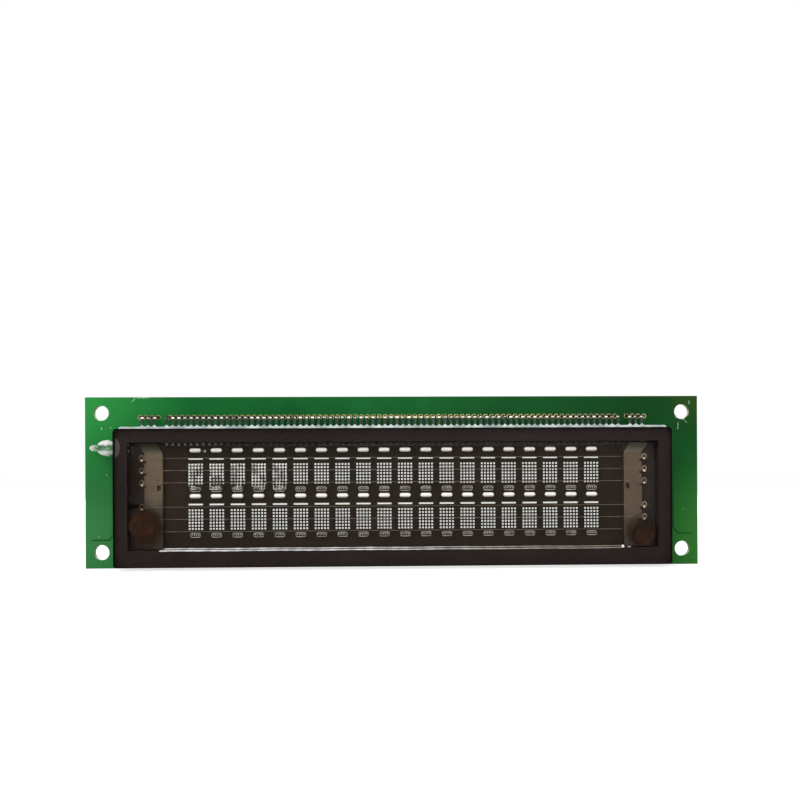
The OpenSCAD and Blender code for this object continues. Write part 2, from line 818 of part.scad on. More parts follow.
// Frit under the walls, which the leads pass through, drawn up in a peak at each lead
module rear_frit_seal() color([0.88, 0.88, 0.86]) front_side() translate([0, 0, glass_z]) difference() {
    linear_extrude(rear_frit_t) {
        wall_outline(ledge_top);
        for (x = concat(main_x, filament_x)) translate([x, ledge_top]) frit_peak();
    }
    for (x = concat(main_x, filament_x)) translate([x - lead_w / 2, chamber_top - over_cut, -over_cut])
        cube([lead_w, ledge_top - chamber_top + 2 * over_cut, lead_t + over_cut]);
}

module frit_peak() {
    w = frit_peak_w / 2;
    polygon([[-w, -frit_peak_root], [w, -frit_peak_root], [w, 0], [0, frit_peak_h], [-w, 0]]);
}

// Frit between the walls and the cover
module front_frit_seal() color([0.15, 0.14, 0.14]) front_side() translate([0, 0, front_frit_z])
    linear_extrude(front_frit_t) wall_outline(cover_top);

// Sealed-off exhaust tip: neck in the wall, blown bulb and drawn nub
module exhaust_tip() color([0.80, 0.82, 0.82]) front_side() exhaust_place() rotate_extrude()
    polygon(concat([[0, -side_wall], [neck_d / 2, -side_wall], [neck_d / 2, 0]],
        [for (a = [0 : 10 : 90]) bulb_point(a)],
        [[nub_d / 2, bulb_len], [nub_d / 2, bulb_len + nub_len * nub_straight], [0, bulb_len + nub_len]]));

// A point of the bulb's outline, from its widest ring to the nub
function bulb_point(a) = let (shoulder = bulb_len * bulb_shoulder)
    [nub_d / 2 + (bulb_d - nub_d) / 2 * cos(a), shoulder + (bulb_len - shoulder) * sin(a)];

// A lead: flat strip through the frit, bent back to the board, with a narrow tail in its hole
module lead(inner_end) {
    bend = lead_t * lead_bend;
    rotate([90, 0, 90]) linear_extrude(lead_w, center = true)
        polygon([[inner_end, glass_z], [lead_row - lead_t / 2, glass_z], [lead_row - lead_t / 2, tail_step],
            [lead_row + lead_t / 2, tail_step], [lead_row + lead_t / 2, glass_z + lead_t - bend],
            [lead_row + lead_t / 2 - bend, glass_z + lead_t], [inner_end, glass_z + lead_t]]);
    translate([-tail_w / 2, lead_row - lead_t / 2, -board_t - lead_tip])
        cube([tail_w, lead_t, tail_step + board_t + lead_tip]);
}

// Grid and anode leads
module lead_pins() color([0.62, 0.63, 0.62]) front_side() for (x = main_x) translate([x, 0, 0])
    lead(chamber_top - lead_in);

// Filament leads, in two groups
module filament_pins() color([0.62, 0.63, 0.62]) front_side() for (x = filament_x) translate([x, 0, 0])
    lead(chamber_top - lead_in);

// Paste contacts on the inner ends of the leads
module lead_contacts() color([0.45, 0.43, 0.41]) front_side() for (x = main_x)
    translate([x - contact_w / 2, chamber_top - lead_in + contact_inset, glass_z + lead_t])
        cube([contact_w, contact_h, contact_t]);

// One dot: a low four-sided point
module dot() {
    rotate(45) cylinder(r1 = dot_side / sqrt(2), r2 = 0, h = dot_t, $fn = 4);
}

module dot_row(z) {
    front_side() for (x = char_x) translate([x, z, print_z])
        for (i = [0 : dot_cols - 1], j = [0 : dot_rows - 1])
            translate([(i - (dot_cols - 1) / 2) * dot_pitch_x, (j - (dot_rows - 1) / 2) * dot_pitch_z, 0])
                dot();
}

// Phosphor dots of the upper row
module upper_dots() color([0.90, 0.90, 0.87]) dot_row(row_z[0]);

// Phosphor dots of the lower row
module lower_dots() color([0.90, 0.90, 0.87]) dot_row(row_z[1]);

// Phosphor cursor bar of every character
module cursor_bars() color([0.92, 0.92, 0.89]) front_side() for (x = char_x, z = row_z)
    translate([x, z + bar_rise, 0]) block([bar_w, bar_h, bar_t], print_z);

// White cement that holds the grids at one end: a rounded bead over the grid's edge
module grid_bonds() color([0.93, 0.91, 0.86]) front_side() for (x = char_x, z = row_z) difference() {
    translate([x, z + bond_rise, print_z]) bead();
    grid_frame_at(x, z);
}

// Half of a bead's section, as points from its foot to its crown
function bead_half() = let (r = bond_round, side = bond_h / 2 - r, top = bond_top - r)
    concat([[bond_h / 2, 0]], [for (a = [0 : 15 : 90]) [side + r * cos(a), top + r * sin(a)]]);

// A bead along X, closed by half a turn of its section at each end
module bead() {
    half = bead_half();
    last = len(half) - 1;
    rotate([90, 0, 90]) linear_extrude(bond_w - bond_h, center = true)
        polygon(concat(half, [for (i = [last : -1 : 0]) [-half[i][0], half[i][1]]]));
    for (side = [-1, 1]) translate([side * (bond_w - bond_h) / 2, 0, 0]) rotate(-90 * side)
        rotate_extrude(angle = 180) polygon(concat([[0, 0]], half, [[0, bond_top]]));
}

// Grey feet under the other end of the grids
module grid_feet() color([0.58, 0.55, 0.53]) front_side() for (x = char_x, z = row_z)
    translate([x, z - foot_drop, 0]) block([foot_w, foot_h, grid_lift], print_z);

// Frame of the control grid over the character whose middle is at x, z
module grid_frame_at(x, z) {
    translate([x - grid_w / 2, z - foot_drop - grid_over, grid_z]) linear_extrude(grid_t) difference() {
        square([grid_w, bond_rise + foot_drop + 2 * grid_over]);
        translate([grid_frame, grid_frame])
            square([grid_w - 2 * grid_frame, bond_rise + foot_drop + 2 * (grid_over - grid_frame)]);
    }
}

// Frames of the control grids, one over each character
module control_grids() color([0.45, 0.44, 0.42]) front_side() for (x = char_x, z = row_z)
    grid_frame_at(x, z);

// Filament wires, stretched over the supports
module filaments() color([0.75, 0.73, 0.70]) front_side() for (z = wire_up)
    translate([tube_x - wire_end, z, wire_z]) rotate([0, 90, 0]) cylinder(d = wire_d, h = 2 * wire_end);

// A filament support, drawn for the right side from its inner edge outwards: a folded sheet with a notch
// beside each wire, and two ribs that run from a slot to its outer edge
module support() {
    low = chamber_low + support_gap;
    slope_start = chamber_top - support_gap - support_slope;
    foot_z = glass_z + lead_t;
    slot_z = wire_mid + slot_rise;
    difference() {
        rotate([90, 0, 0]) translate([0, 0, -slope_start]) linear_extrude(slope_start - low)
            polygon([[0, glass_z], [support_foot, glass_z], [support_foot, glass_z + support_t],
                [support_t, glass_z + support_t], [support_t, plate_z - support_t],
                [support_w, plate_z - support_t], [support_w, plate_z], [0, plate_z]]);
        for (z = wire_up) translate([support_w - notch_depth / 2, z - notch_drop, 0])
            block([notch_depth, notch_w, support_t + 2 * notch_over], plate_z - support_t - notch_over);
        translate([slot_in + slot_w / 2, slot_z, 0])
            block([slot_w, slot_h, support_t + 2 * notch_over], plate_z - support_t - notch_over);
    }
    finger_len = support_w - slot_in - slot_w;
    for (side = [-1, 1]) translate([support_w - finger_len / 2, slot_z + side * (slot_h - finger_w) / 2, 0])
        block([finger_len, finger_w, finger_h], plate_z);
    hull() {
        translate([0, slope_start, plate_z - support_t]) cube([support_w, support_fold, support_t]);
        translate([support_lean, chamber_top - support_gap - support_toe, foot_z])
            cube([support_w, support_toe, support_t]);
    }
}

// Folded sheet that carries the wires on the left
module left_support() color([0.45, 0.39, 0.30]) front_side() translate([tube_x - support_in, 0, 0])
    mirror([1, 0, 0]) support();

// Folded sheet that carries the wires on the right
module right_support() color([0.45, 0.39, 0.30]) front_side() translate([tube_x + support_in, 0, 0])
    support();

// Spring loops at both ends of every wire, cut from sheet and joined to the supports' outer edges
module filament_springs() color([0.70, 0.66, 0.58]) front_side() for (side = [-1, 1], z = wire_up)
    translate([tube_x + side * wire_end, z, spring_z]) mirror([side < 0 ? 1 : 0, 0, 0])
        linear_extrude(spring_t) spring_outline();

module spring_outline() {
    translate([spring_gap + spring_w / 2, 0]) rotate(90) difference() {
        slot_outline(spring_h, spring_w);
        slot_outline(spring_h - 2 * spring_line, spring_w - 2 * spring_line);
    }
    translate([0, -spring_tab_w / 2]) square([spring_gap + spring_line / 2, spring_tab_w]);
}

// A getter: dished pan on a post that stands on the base plate
module getter(r, side) {
    difference() {
        translate([0, 0, getter_z]) cylinder(r = r, h = getter_t);
        translate([0, 0, getter_z + getter_t / 2])
            cylinder(r1 = r * getter_dish_r, r2 = r * getter_dish_r + getter_t / 2, h = getter_t);
    }
    translate([side * getter_post_out, 0, glass_z]) cylinder(r = getter_post_r, h = getter_z - glass_z);
}

// Getter on the left
module left_getter() color([0.27, 0.17, 0.11]) front_side() translate(left_getter_at)
    getter(left_getter_r, -1);

// Getter on the right
module right_getter() color([0.27, 0.17, 0.11]) front_side() translate(right_getter_at)
    getter(right_getter_r, 1);

module header_cells() {
    half = cell / 2;
    cut = half - cell_chamfer;
    for (x = header_x, y = header_y) translate([x, y])
        polygon([[half, -cut], [half, cut], [cut, half], [-cut, half], [-half, cut], [-half, -cut],
            [-cut, -half], [cut, -half]]);
}

// Header body: two rows of chamfered cells with a square way through each
module header_body() color([0.18, 0.11, 0.10]) back_side() at(header_at) linear_extrude(header_h)
    difference() {
        header_cells();
        for (x = header_x, y = header_y) translate([x, y]) square(contact_side, center = true);
    }

// Header contacts, from below the body's top to their tails past the board
module header_contacts() color([0.78, 0.75, 0.66]) back_side() at(header_at) for (x = header_x, y = header_y)
    translate([x, y, 0])
        block([contact_side, contact_side, header_h - contact_sink + board_t + header_tail],
            -board_t - header_tail);

// Controller, with leads on four sides
module controller_body() color([0.23, 0.23, 0.23]) back_side() at(controller_at)
    chip_body(controller_side, controller_side, controller_h, [controller_dimple], dimple_r);

module controller_leads() color([0.80, 0.80, 0.80]) back_side() at(controller_at)
    chip_leads(controller_side, controller_span, controller_h, four_sides, controller_pins,
        controller_pitch, controller_lead_w);

module driver_body() {
    chip_body(driver_w, driver_len, driver_h, driver_dimples, dimple_r);
}

module driver_leads() {
    chip_leads(driver_w, driver_span, driver_h, two_sides, driver_pins, fine_pitch, fine_lead_w);
}

// Display driver on the left
module left_driver_body() color([0.23, 0.23, 0.24]) back_side() at(left_driver_at) driver_body();

module left_driver_leads() color([0.80, 0.80, 0.80]) back_side() at(left_driver_at) driver_leads();

// Display driver on the right
module right_driver_body() color([0.23, 0.23, 0.24]) back_side() at(right_driver_at) driver_body();

module right_driver_leads() color([0.80, 0.80, 0.80]) back_side() at(right_driver_at) driver_leads();

// Bus buffer
module buffer_body() color([0.22, 0.22, 0.22]) back_side() at(buffer_at)
    chip_body(logic_w, buffer_len, logic_h, [logic_dimple], logic_dimple_r);

module buffer_leads() color([0.80, 0.80, 0.80]) back_side() at(buffer_at)
    chip_leads(logic_w, logic_span, logic_h, two_sides, buffer_pins, fine_pitch, fine_lead_w);

// Two gate chips
module gate_bodies() color([0.22, 0.22, 0.22]) back_side() for (place = gates_at) at(place)
    chip_body(logic_w, gate_len, logic_h, [logic_dimple], logic_dimple_r);

module gate_leads() color([0.80, 0.80, 0.80]) back_side() for (place = gates_at) at(place)
    chip_leads(logic_w, logic_span, logic_h, two_sides, gate_pins, fine_pitch, fine_lead_w);

// Capacitor cans, with a rolled groove and a round top edge
module capacitor_cans() color([0.74, 0.73, 0.76]) back_side() for (place = can_places) at(place)
    translate([0, 0, copper_t + can_base_h / 2]) rotate_extrude() polygon(can_outline());

function can_outline() = let (r = can_d / 2, top = can_h - copper_t - can_base_h / 2, g = can_groove_z)
    concat([[0, 0], [r, 0], [r, g], [r - can_groove, g + can_groove_h / 2], [r, g + can_groove_h]],
        [for (a = [0 : 15 : 90]) [r - can_lip + can_lip * cos(a), top - can_lip + can_lip * sin(a)]],
        [[0, top]]);

// Capacitor bases: square trays, chamfered at the plus side
module capacitor_bases() color([0.24, 0.21, 0.22]) back_side() for (place = can_places) at(place)
    translate([0, 0, copper_t]) difference() {
        linear_extrude(can_base_h) can_base_outline();
        translate([0, 0, can_base_h / 2]) cylinder(d = can_d, h = can_base_h);
    }

module can_base_outline() {
    s = can_base_side / 2;
    c = base_chamfer;
    polygon([[-s, -s], [s, -s], [s, s - c], [s - c, s], [c - s, s], [-s, s - c]]);
}

// Soldering tabs of the capacitors
module capacitor_tabs() color([0.80, 0.80, 0.80]) back_side() for (place = can_places, side = [-1, 1])
    at(place + [0, side * (can_base_side / 2 + tab_reach / 2)]) block([tab_w, tab_reach, tab_t], copper_t);

// Regulator body on its tab
module regulator_body() color([0.20, 0.16, 0.16]) back_side() at(reg_at)
    translate([0, 0, copper_t + reg_tab_t]) difference() {
        moulded(reg_w, reg_len, reg_h, reg_draft, (reg_h - reg_tab_t) / 2, reg_tab_t);
        translate([0, -reg_len / 4, reg_h - dimple_depth]) cylinder(r = reg_dimple_r, h = over_cut);
    }

// Regulator tab, its two legs and the cut-off middle leg
module regulator_tab() color([0.78, 0.78, 0.78]) back_side() at(reg_at) translate([0, 0, copper_t]) {
    top = reg_len / 2 + reg_tab_reach;
    low = reg_len / 2 - reg_tab_in;
    c = reg_tab_chamfer;
    w = reg_tab_w / 2;
    linear_extrude(reg_tab_t)
        polygon([[-w, low], [w, low], [w, top - c], [w - c, top], [c - w, top], [-w, top - c]]);
    leg_rise = reg_tab_t + (reg_h - reg_tab_t) / 2;
    rotate(180) translate([0, reg_len / 2, 0]) {
        row(2, reg_leg_pitch) gull_lead(reg_leg_reach, reg_leg_foot, leg_rise, reg_leg_w, reg_tab_t);
        translate([0, reg_stub / 2, 0]) block([reg_leg_w, reg_stub, reg_tab_t], leg_rise);
    }
}

// Ferrite core: two joined E halves with the spool on the middle leg
module transformer_core() color([0.33, 0.31, 0.32]) back_side() at(trafo_at) rotate([90, 0, 0])
    linear_extrude(core_d, center = true) difference() {
        translate([-core_w / 2, core_z]) square([core_w, core_h]);
        for (side = [-1, 1]) translate([side * (core_leg + core_window) / 2, window_z + window_h / 2])
            square([core_window, window_h], center = true);
    }

// The space round the core's middle leg, with a wall added to it
module spool_block(z, h, wall) {
    block([core_leg + 2 * (spool_gap + wall), core_d + 2 * (spool_gap + wall), h], z);
}

// Bobbin: tube, two flanges and two rails that hold the pins
module transformer_bobbin() color([0.14, 0.09, 0.08]) back_side() at(trafo_at) difference() {
    union() {
        spool_block(window_z, window_h, spool_wall);
        for (z = [window_z, window_z + window_h - flange_t]) block([flange_w, rail_span, flange_t], z);
        for (side = [-1, 1]) translate([0, side * (rail_span - rail_d) / 2, 0])
            block([rail_w, rail_d, window_z + flange_t - core_z], core_z);
    }
    spool_block(window_z - over_cut, window_h + 2 * over_cut, 0);
}

// Enamelled copper winding on the bobbin
module transformer_winding() color([0.62, 0.36, 0.18]) back_side() at(trafo_at) difference() {
    block([wind_w, wind_d, window_h - 2 * flange_t], window_z + flange_t);
    spool_block(window_z, window_h, spool_wall);
}

// Transformer pins
module transformer_pins() color([0.80, 0.80, 0.78]) back_side() at(trafo_at) translate([0, 0, copper_t])
    on_sides([0, 180], rail_span) row(trafo_pins, trafo_pitch)
        gull_lead((trafo_span - rail_span) / 2, trafo_foot, trafo_rise, trafo_pin_w, trafo_pin_t);

// Reset chip, a flat-lead package with a wide middle tab
module reset_body() color([0.16, 0.14, 0.14]) back_side() at(reset_at) translate([0, 0, copper_t])
    moulded(reset_w, reset_d, reset_h, draft, reset_band_z, reset_lead_t);

module reset_outline(t) {
    row(3, reset_pitch) translate([0, (reset_d + reset_reach) / 2, 0]) block([reset_lead_w, reset_reach, t]);
    translate([0, -(reset_d + reset_tab_reach) / 2, 0]) block([reset_tab_w, reset_tab_reach, t]);
}

module reset_leads() color([0.80, 0.80, 0.80]) back_side() at(reset_at) translate([0, 0, copper_t])
    reset_outline(reset_lead_t);

// Small transistors and diodes with three leads
module transistor_bodies() color([0.18, 0.17, 0.17]) back_side() for (place = transistors_at) at(place)
    translate([0, 0, copper_t + standoff])
        moulded(small_w, small_d, small_h, small_draft, (small_h - frame_t) / 2, frame_t);

module transistor_leads() color([0.80, 0.80, 0.80]) back_side() for (place = transistors_at) at(place)
    translate([0, 0, copper_t]) {
        on_sides([0], small_d) small_lead();
        on_sides([180], small_d) row(2, small_pitch) small_lead();
    }

module small_lead() {
    gull_lead((small_span - small_d) / 2, small_foot, standoff + (small_h - frame_t) / 2, small_lead_w,
        frame_t);
}

// Moulded tantalum capacitor and its folded end straps
module tantalum_body() color([0.25, 0.23, 0.22]) back_side() at(tantalum_at)
    translate([0, 0, copper_t + tantalum_t])
        moulded(tantalum_w, tantalum_d, tantalum_h, tantalum_draft, tantalum_band_z, tantalum_term_h);

module tantalum_terminals() color([0.75, 0.75, 0.73]) back_side() at(tantalum_at)
    translate([0, 0, copper_t]) on_sides([0, 180], tantalum_d)
        rotate([90, 0, 90]) linear_extrude(tantalum_term_w, center = true)
            polygon([[-tantalum_term_h, 0], [tantalum_t, 0], [tantalum_t, tantalum_term_h],
                [0, tantalum_term_h], [0, tantalum_t], [-tantalum_term_h, tantalum_t]]);

module chip_middle(len, w, h) {
    block([len - 2 * cap_len, w, h], copper_t);
}

module chip_ends(len, w, h) {
    for (side = [-1, 1]) translate([side * (len - cap_len) / 2, 0, 0]) block([cap_len, w, h], copper_t);
}

// Ceramic chip capacitors
module chip_capacitors() color([0.70, 0.58, 0.42]) back_side() {
    for (place = chip_caps_at) turned_at(place) chip_middle(chip_len, chip_w, chip_cap_h);
    turned_at(large_chip_at) chip_middle(large_chip_len, large_chip_w, chip_cap_h);
}

// Chip resistors
module chip_resistors() color([0.13, 0.13, 0.13]) back_side() for (place = chip_res_at) turned_at(place)
    chip_middle(chip_len, chip_w, chip_res_h);

// Tinned ends of the chips and terminals of the resistor arrays
module chip_end_caps() color([0.82, 0.82, 0.81]) back_side() {
    for (place = chip_caps_at) turned_at(place) chip_ends(chip_len, chip_w, chip_cap_h);
    turned_at(large_chip_at) chip_ends(large_chip_len, large_chip_w, chip_cap_h);
    for (place = chip_res_at) turned_at(place) chip_ends(chip_len, chip_w, chip_res_h);
    for (place = arrays_at) at(place) for (side = [-1, 1]) row(array_pins, array_pitch)
        translate([0, side * (array_w - array_cap_len) / 2, 0])
            block([array_cap_w, array_cap_len, array_h], copper_t);
}

// Resistor arrays, notched between their terminals
module resistor_arrays() color([0.14, 0.14, 0.14]) back_side() for (place = arrays_at) at(place)
    difference() {
        block([array_len, array_w, array_h], copper_t);
        for (side = [-1, 1]) row(array_pins, array_pitch)
            translate([0, side * (array_w - array_cap_len) / 2, 0])
                block([array_cap_w, array_cap_len, 2 * array_h], 0);
    }

// Ceramic resonator with its three terminal bands
module resonator() color([0.55, 0.45, 0.30]) back_side() at(resonator_at) {
    block([resonator_len, resonator_w, resonator_h], copper_t + resonator_band_t);
    row(resonator_bands, resonator_pitch)
        block([resonator_band_w, resonator_w, resonator_band_t], copper_t);
}

// Amber tape, draped over the parts under it
module amber_tape() color([0.75, 0.55, 0.10, 0.8]) back_side() difference() {
    tape_tent(film_t);
    tape_tent(0);
}

module tape_tent(rise) {
    ridge = copper_t + resonator_band_t + resonator_h + film_clear;
    low = tape_low;
    high = tape_high;
    hull() {
        translate([low[0], low[1], -over_cut])
            cube([high[0] - low[0], high[1] - low[1], over_cut + rise + copper_t]);
        translate([tape_ridge_low[0], tape_ridge_low[1], 0]) cube([tape_ridge_high[0] - tape_ridge_low[0],
            tape_ridge_high[1] - tape_ridge_low[1], ridge + rise]);
    }
}

// Blank paper label
module paper_label() color([0.93, 0.93, 0.92]) back_side() at(label_at) rotate(label_turn)
    block([label_w, label_h, label_t]);

circuit_board();
copper_lands();
solder_joints();
foam_tape();
base_plate();
printed_layer();
spacer_walls();
cover_glass();
rear_frit_seal();
front_frit_seal();
exhaust_tip();
lead_pins();
filament_pins();
lead_contacts();
upper_dots();
lower_dots();
cursor_bars();
grid_bonds();
grid_feet();
control_grids();
filaments();
left_support();
right_support();
filament_springs();
left_getter();
right_getter();
header_body();
header_contacts();
controller_body();
controller_leads();
left_driver_body();
left_driver_leads();
right_driver_body();
right_driver_leads();
buffer_body();
buffer_leads();
gate_bodies();
gate_leads();
capacitor_cans();
capacitor_bases();
capacitor_tabs();
regulator_body();
regulator_tab();
transformer_core();
transformer_bobbin();
transformer_winding();
transformer_pins();
reset_body();
reset_leads();
transistor_bodies();
transistor_leads();
tantalum_body();
tantalum_terminals();
chip_capacitors();
chip_resistors();
chip_end_caps();
resistor_arrays();
resonator();
amber_tape();
paper_label();
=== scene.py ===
"""Vacuum fluorescent display module: a sealed glass display tube on a board, drive parts behind it."""

import math

import bmesh
import bpy
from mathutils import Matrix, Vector


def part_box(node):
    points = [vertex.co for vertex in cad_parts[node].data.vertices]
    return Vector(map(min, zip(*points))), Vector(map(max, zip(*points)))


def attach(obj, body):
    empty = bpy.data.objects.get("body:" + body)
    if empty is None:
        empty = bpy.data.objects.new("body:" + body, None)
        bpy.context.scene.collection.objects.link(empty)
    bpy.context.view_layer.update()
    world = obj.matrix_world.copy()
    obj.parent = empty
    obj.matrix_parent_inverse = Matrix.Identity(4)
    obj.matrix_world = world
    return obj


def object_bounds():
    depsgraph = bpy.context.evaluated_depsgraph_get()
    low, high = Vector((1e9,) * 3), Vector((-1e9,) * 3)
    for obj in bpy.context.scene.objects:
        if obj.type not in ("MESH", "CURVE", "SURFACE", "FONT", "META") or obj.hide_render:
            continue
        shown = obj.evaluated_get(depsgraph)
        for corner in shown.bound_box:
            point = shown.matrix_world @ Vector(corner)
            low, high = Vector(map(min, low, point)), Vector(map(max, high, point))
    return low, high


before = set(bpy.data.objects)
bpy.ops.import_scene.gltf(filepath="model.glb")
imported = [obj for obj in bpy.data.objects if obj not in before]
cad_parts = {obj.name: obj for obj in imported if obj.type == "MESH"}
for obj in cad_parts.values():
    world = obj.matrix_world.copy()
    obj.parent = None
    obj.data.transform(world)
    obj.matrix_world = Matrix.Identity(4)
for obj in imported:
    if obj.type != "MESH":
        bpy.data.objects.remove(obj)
cad_box = [list(corner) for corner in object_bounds()]

# Circuit board: glass-fibre laminate under a glossy green solder mask, sawn at its edges so that the
# pale fibre shows there. On the front the mask is painted lighter towards the upper left and lower
# corners and darker towards the upper right, as painted light and shade.
MM = 0.001
mask_light = (27, 108, 50)
mask_dark = (18, 90, 40)
mask_light_and_shade = [((80, 0, 23), (1, 70, 2.2), 100, (20, 66, 28)),
              ((77, 0, 21), (1, 70, 1.0), 10, (44, 76, 28)),
              ((-80, 0, 23), (1, 70, 1.0), 30, (48, 146, 68)),
              ((-76, 0, -14), (1, 70, 1.0), 26, (58, 126, 70)),
              ((76, 0, -16), (1, 70, 1.0), 26, (50, 114, 46))]
mask_gloss = 0.02
mask_speck = (150, 190, 150)
fibre_edge = (120, 150, 84)
dull = 0.06
wear_finer = 2.7
wear_spread = (0.3, 0.7)
grain_spread = (0.2, 0.8)
grain_depth = 0.05
side_limit = 0.5
FLOAT = "NodeSocketFloat"
VECTOR = "NodeSocketVector"


def linear(red, green, blue):
    """A colour given in 0-255 display values, as the shader's linear colour."""
    shares = [part / 255 for part in (red, green, blue)]
    return (*[s / 12.92 if s <= 0.04045 else ((s + 0.055) / 1.055) ** 2.4 for s in shares], 1.0)


def add_node(tree, kind, inputs=None, **settings):
    """Adds a node, with its settings, and links or sets its inputs."""
    node = tree.nodes.new(kind)
    for name, value in settings.items():
        setattr(node, name, value)
    for key, value in (inputs or {}).items():
        if isinstance(value, bpy.types.NodeSocket):
            tree.links.new(value, node.inputs[key])
        else:
            node.inputs[key].default_value = value
    return node


def compute(tree, operation, *terms):
    """The result of a Math node on its terms."""
    return add_node(tree, "ShaderNodeMath", dict(enumerate(terms)), operation=operation).outputs[0]


def layered(tree, mask, below, above):
    """One colour over another where the mask is set."""
    return add_node(tree, "ShaderNodeMix", {0: mask, 6: below, 7: above}, data_type="RGBA").outputs[2]


def shader_group(name, inputs, output):
    """An empty shader group with named inputs and one output."""
    group = bpy.data.node_groups.new(name, "ShaderNodeTree")
    for label, kind, default in inputs:
        group.interface.new_socket(label, in_out="INPUT", socket_type=kind).default_value = default
    group.interface.new_socket(output, in_out="OUTPUT", socket_type=FLOAT)
    return group, group.nodes.new("NodeGroupInput").outputs, group.nodes.new("NodeGroupOutput")


mottle, given, result = shader_group(
    "mottle", [("Scale", FLOAT, 100.0), ("Low", FLOAT, 0.4), ("High", FLOAT, 0.6)], "Mask")
place = add_node(mottle, "ShaderNodeTexCoord").outputs["Object"]
noise = add_node(mottle, "ShaderNodeTexNoise", {"Vector": place, "Scale": given["Scale"], "Detail": 4.0})
ramp = add_node(mottle, "ShaderNodeMapRange",
                {"Value": noise.outputs[0], "From Min": given["Low"], "From Max": given["High"]})
mottle.links.new(ramp.outputs[0], result.inputs[0])

specks, given, result = shader_group(
    "specks", [("Scale", FLOAT, 500.0), ("Size", FLOAT, 0.2), ("Share", FLOAT, 0.1)], "Mask")
place = add_node(specks, "ShaderNodeTexCoord").outputs["Object"]
cells = add_node(specks, "ShaderNodeTexVoronoi", {"Vector": place, "Scale": given["Scale"]})
near = compute(specks, "LESS_THAN", cells.outputs["Distance"], given["Size"])
chance = add_node(specks, "ShaderNodeSeparateColor", {0: cells.outputs["Color"]}).outputs[0]
chosen = compute(specks, "LESS_THAN", chance, given["Share"])
specks.links.new(compute(specks, "MULTIPLY", near, chosen), result.inputs[0])

sideways, given, result = shader_group("sideways", [], "Mask")
normal = add_node(sideways, "ShaderNodeNewGeometry").outputs["Normal"]
facing = add_node(sideways, "ShaderNodeSeparateXYZ", {0: normal}).outputs["Y"]
edge = compute(sideways, "LESS_THAN", compute(sideways, "ABSOLUTE", facing), side_limit)
sideways.links.new(edge, result.inputs[0])

around, given, result = shader_group(
    "around", [("Centre", VECTOR, (0, 0, 0)), ("Stretch", VECTOR, (1, 0, 1)), ("Inner", FLOAT, 0.0),
               ("Outer", FLOAT, 0.01)], "Mask")
place = add_node(around, "ShaderNodeTexCoord").outputs["Object"]
away = add_node(around, "ShaderNodeVectorMath", {0: place, 1: given["Centre"]}, operation="SUBTRACT")
scaled = add_node(around, "ShaderNodeVectorMath", {0: away.outputs[0], 1: given["Stretch"]},
                  operation="MULTIPLY")
distance = add_node(around, "ShaderNodeVectorMath", {0: scaled.outputs[0]}, operation="LENGTH")
fade = add_node(around, "ShaderNodeMapRange", {
    "Value": distance.outputs["Value"], "From Min": given["Outer"], "From Max": given["Inner"]},
    interpolation_type="SMOOTHSTEP")
around.links.new(fade.outputs[0], result.inputs[0])


def mask_of(finish, group, **values):
    """The mask of a shader group placed in a finish with its own values."""
    node = add_node(finish.node_tree, "ShaderNodeGroup", None, node_tree=group)
    for name, value in values.items():
        node.inputs[name].default_value = value
    return node.outputs[0]


def spot_on(finish, centre, inner, outer, stretch=(1, 0, 1)):
    """The mask of a soft spot on a finish, or of a band where the stretch is zero, in millimetres."""
    return mask_of(finish, around, Centre=[part * MM for part in centre], Stretch=stretch, Inner=inner * MM,
                   Outer=outer * MM)


def shader_of(finish):
    return finish.node_tree.nodes["Principled BSDF"]


def new_finish(name):
    """A new finish, with its node tree and its main shader."""
    finish = bpy.data.materials.new(name)
    finish.use_nodes = True
    return finish, finish.node_tree, shader_of(finish)


def mottled(name, light, dark, scale, spread=(0.38, 0.62), rough=(0.4, 0.5), metallic=0.0, bump=0.0,
            bump_scale=3000.0, specular=0.3):
    """A finish of two tones in soft patches, with uneven gloss and a fine grain."""
    finish, tree, shader = new_finish(name)
    shader.inputs["Metallic"].default_value = metallic
    shader.inputs["Specular IOR Level"].default_value = specular
    patches = mask_of(finish, mottle, Scale=scale, Low=spread[0], High=spread[1])
    tree.links.new(layered(tree, patches, linear(*dark), linear(*light)), shader.inputs["Base Color"])
    wear = mask_of(finish, mottle, Scale=scale * wear_finer, Low=wear_spread[0], High=wear_spread[1])
    gloss = add_node(tree, "ShaderNodeMapRange", {"Value": wear, "To Min": rough[0], "To Max": rough[1]})
    tree.links.new(gloss.outputs[0], shader.inputs["Roughness"])
    if bump:
        grain = mask_of(finish, mottle, Scale=bump_scale, Low=grain_spread[0], High=grain_spread[1])
        relief = add_node(tree, "ShaderNodeBump",
                          {"Strength": bump, "Distance": grain_depth * MM, "Height": grain})
        tree.links.new(relief.outputs[0], shader.inputs["Normal"])
    return finish


def over(finish, mask, colour):
    """Lays a colour over a finish where the mask is set."""
    tree = finish.node_tree
    target = shader_of(finish).inputs["Base Color"]
    below = target.links[0].from_socket
    tree.links.new(layered(tree, mask, below, linear(*colour)), target)


def dress(finish, *nodes):
    """Gives nodes of the frame their finish."""
    for node in nodes:
        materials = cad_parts[node].data.materials
        materials.clear()
        materials.append(finish)


solder_mask = mottled("solder_mask", mask_light, mask_dark, 45, rough=(0.3, 0.42), bump=0.12,
                      bump_scale=1400, specular=mask_gloss)
# Painted light and shade: lighter and darker patches towards the corners of the front.
for centre, stretch, reach, tone in mask_light_and_shade:
    over(solder_mask, spot_on(solder_mask, centre, 0, reach, stretch), tone)
over(solder_mask, mask_of(solder_mask, specks, Scale=420.0, Size=0.07, Share=0.08), mask_speck)
over(solder_mask, mask_of(solder_mask, sideways), fibre_edge)
dress(solder_mask, "circuit_board")

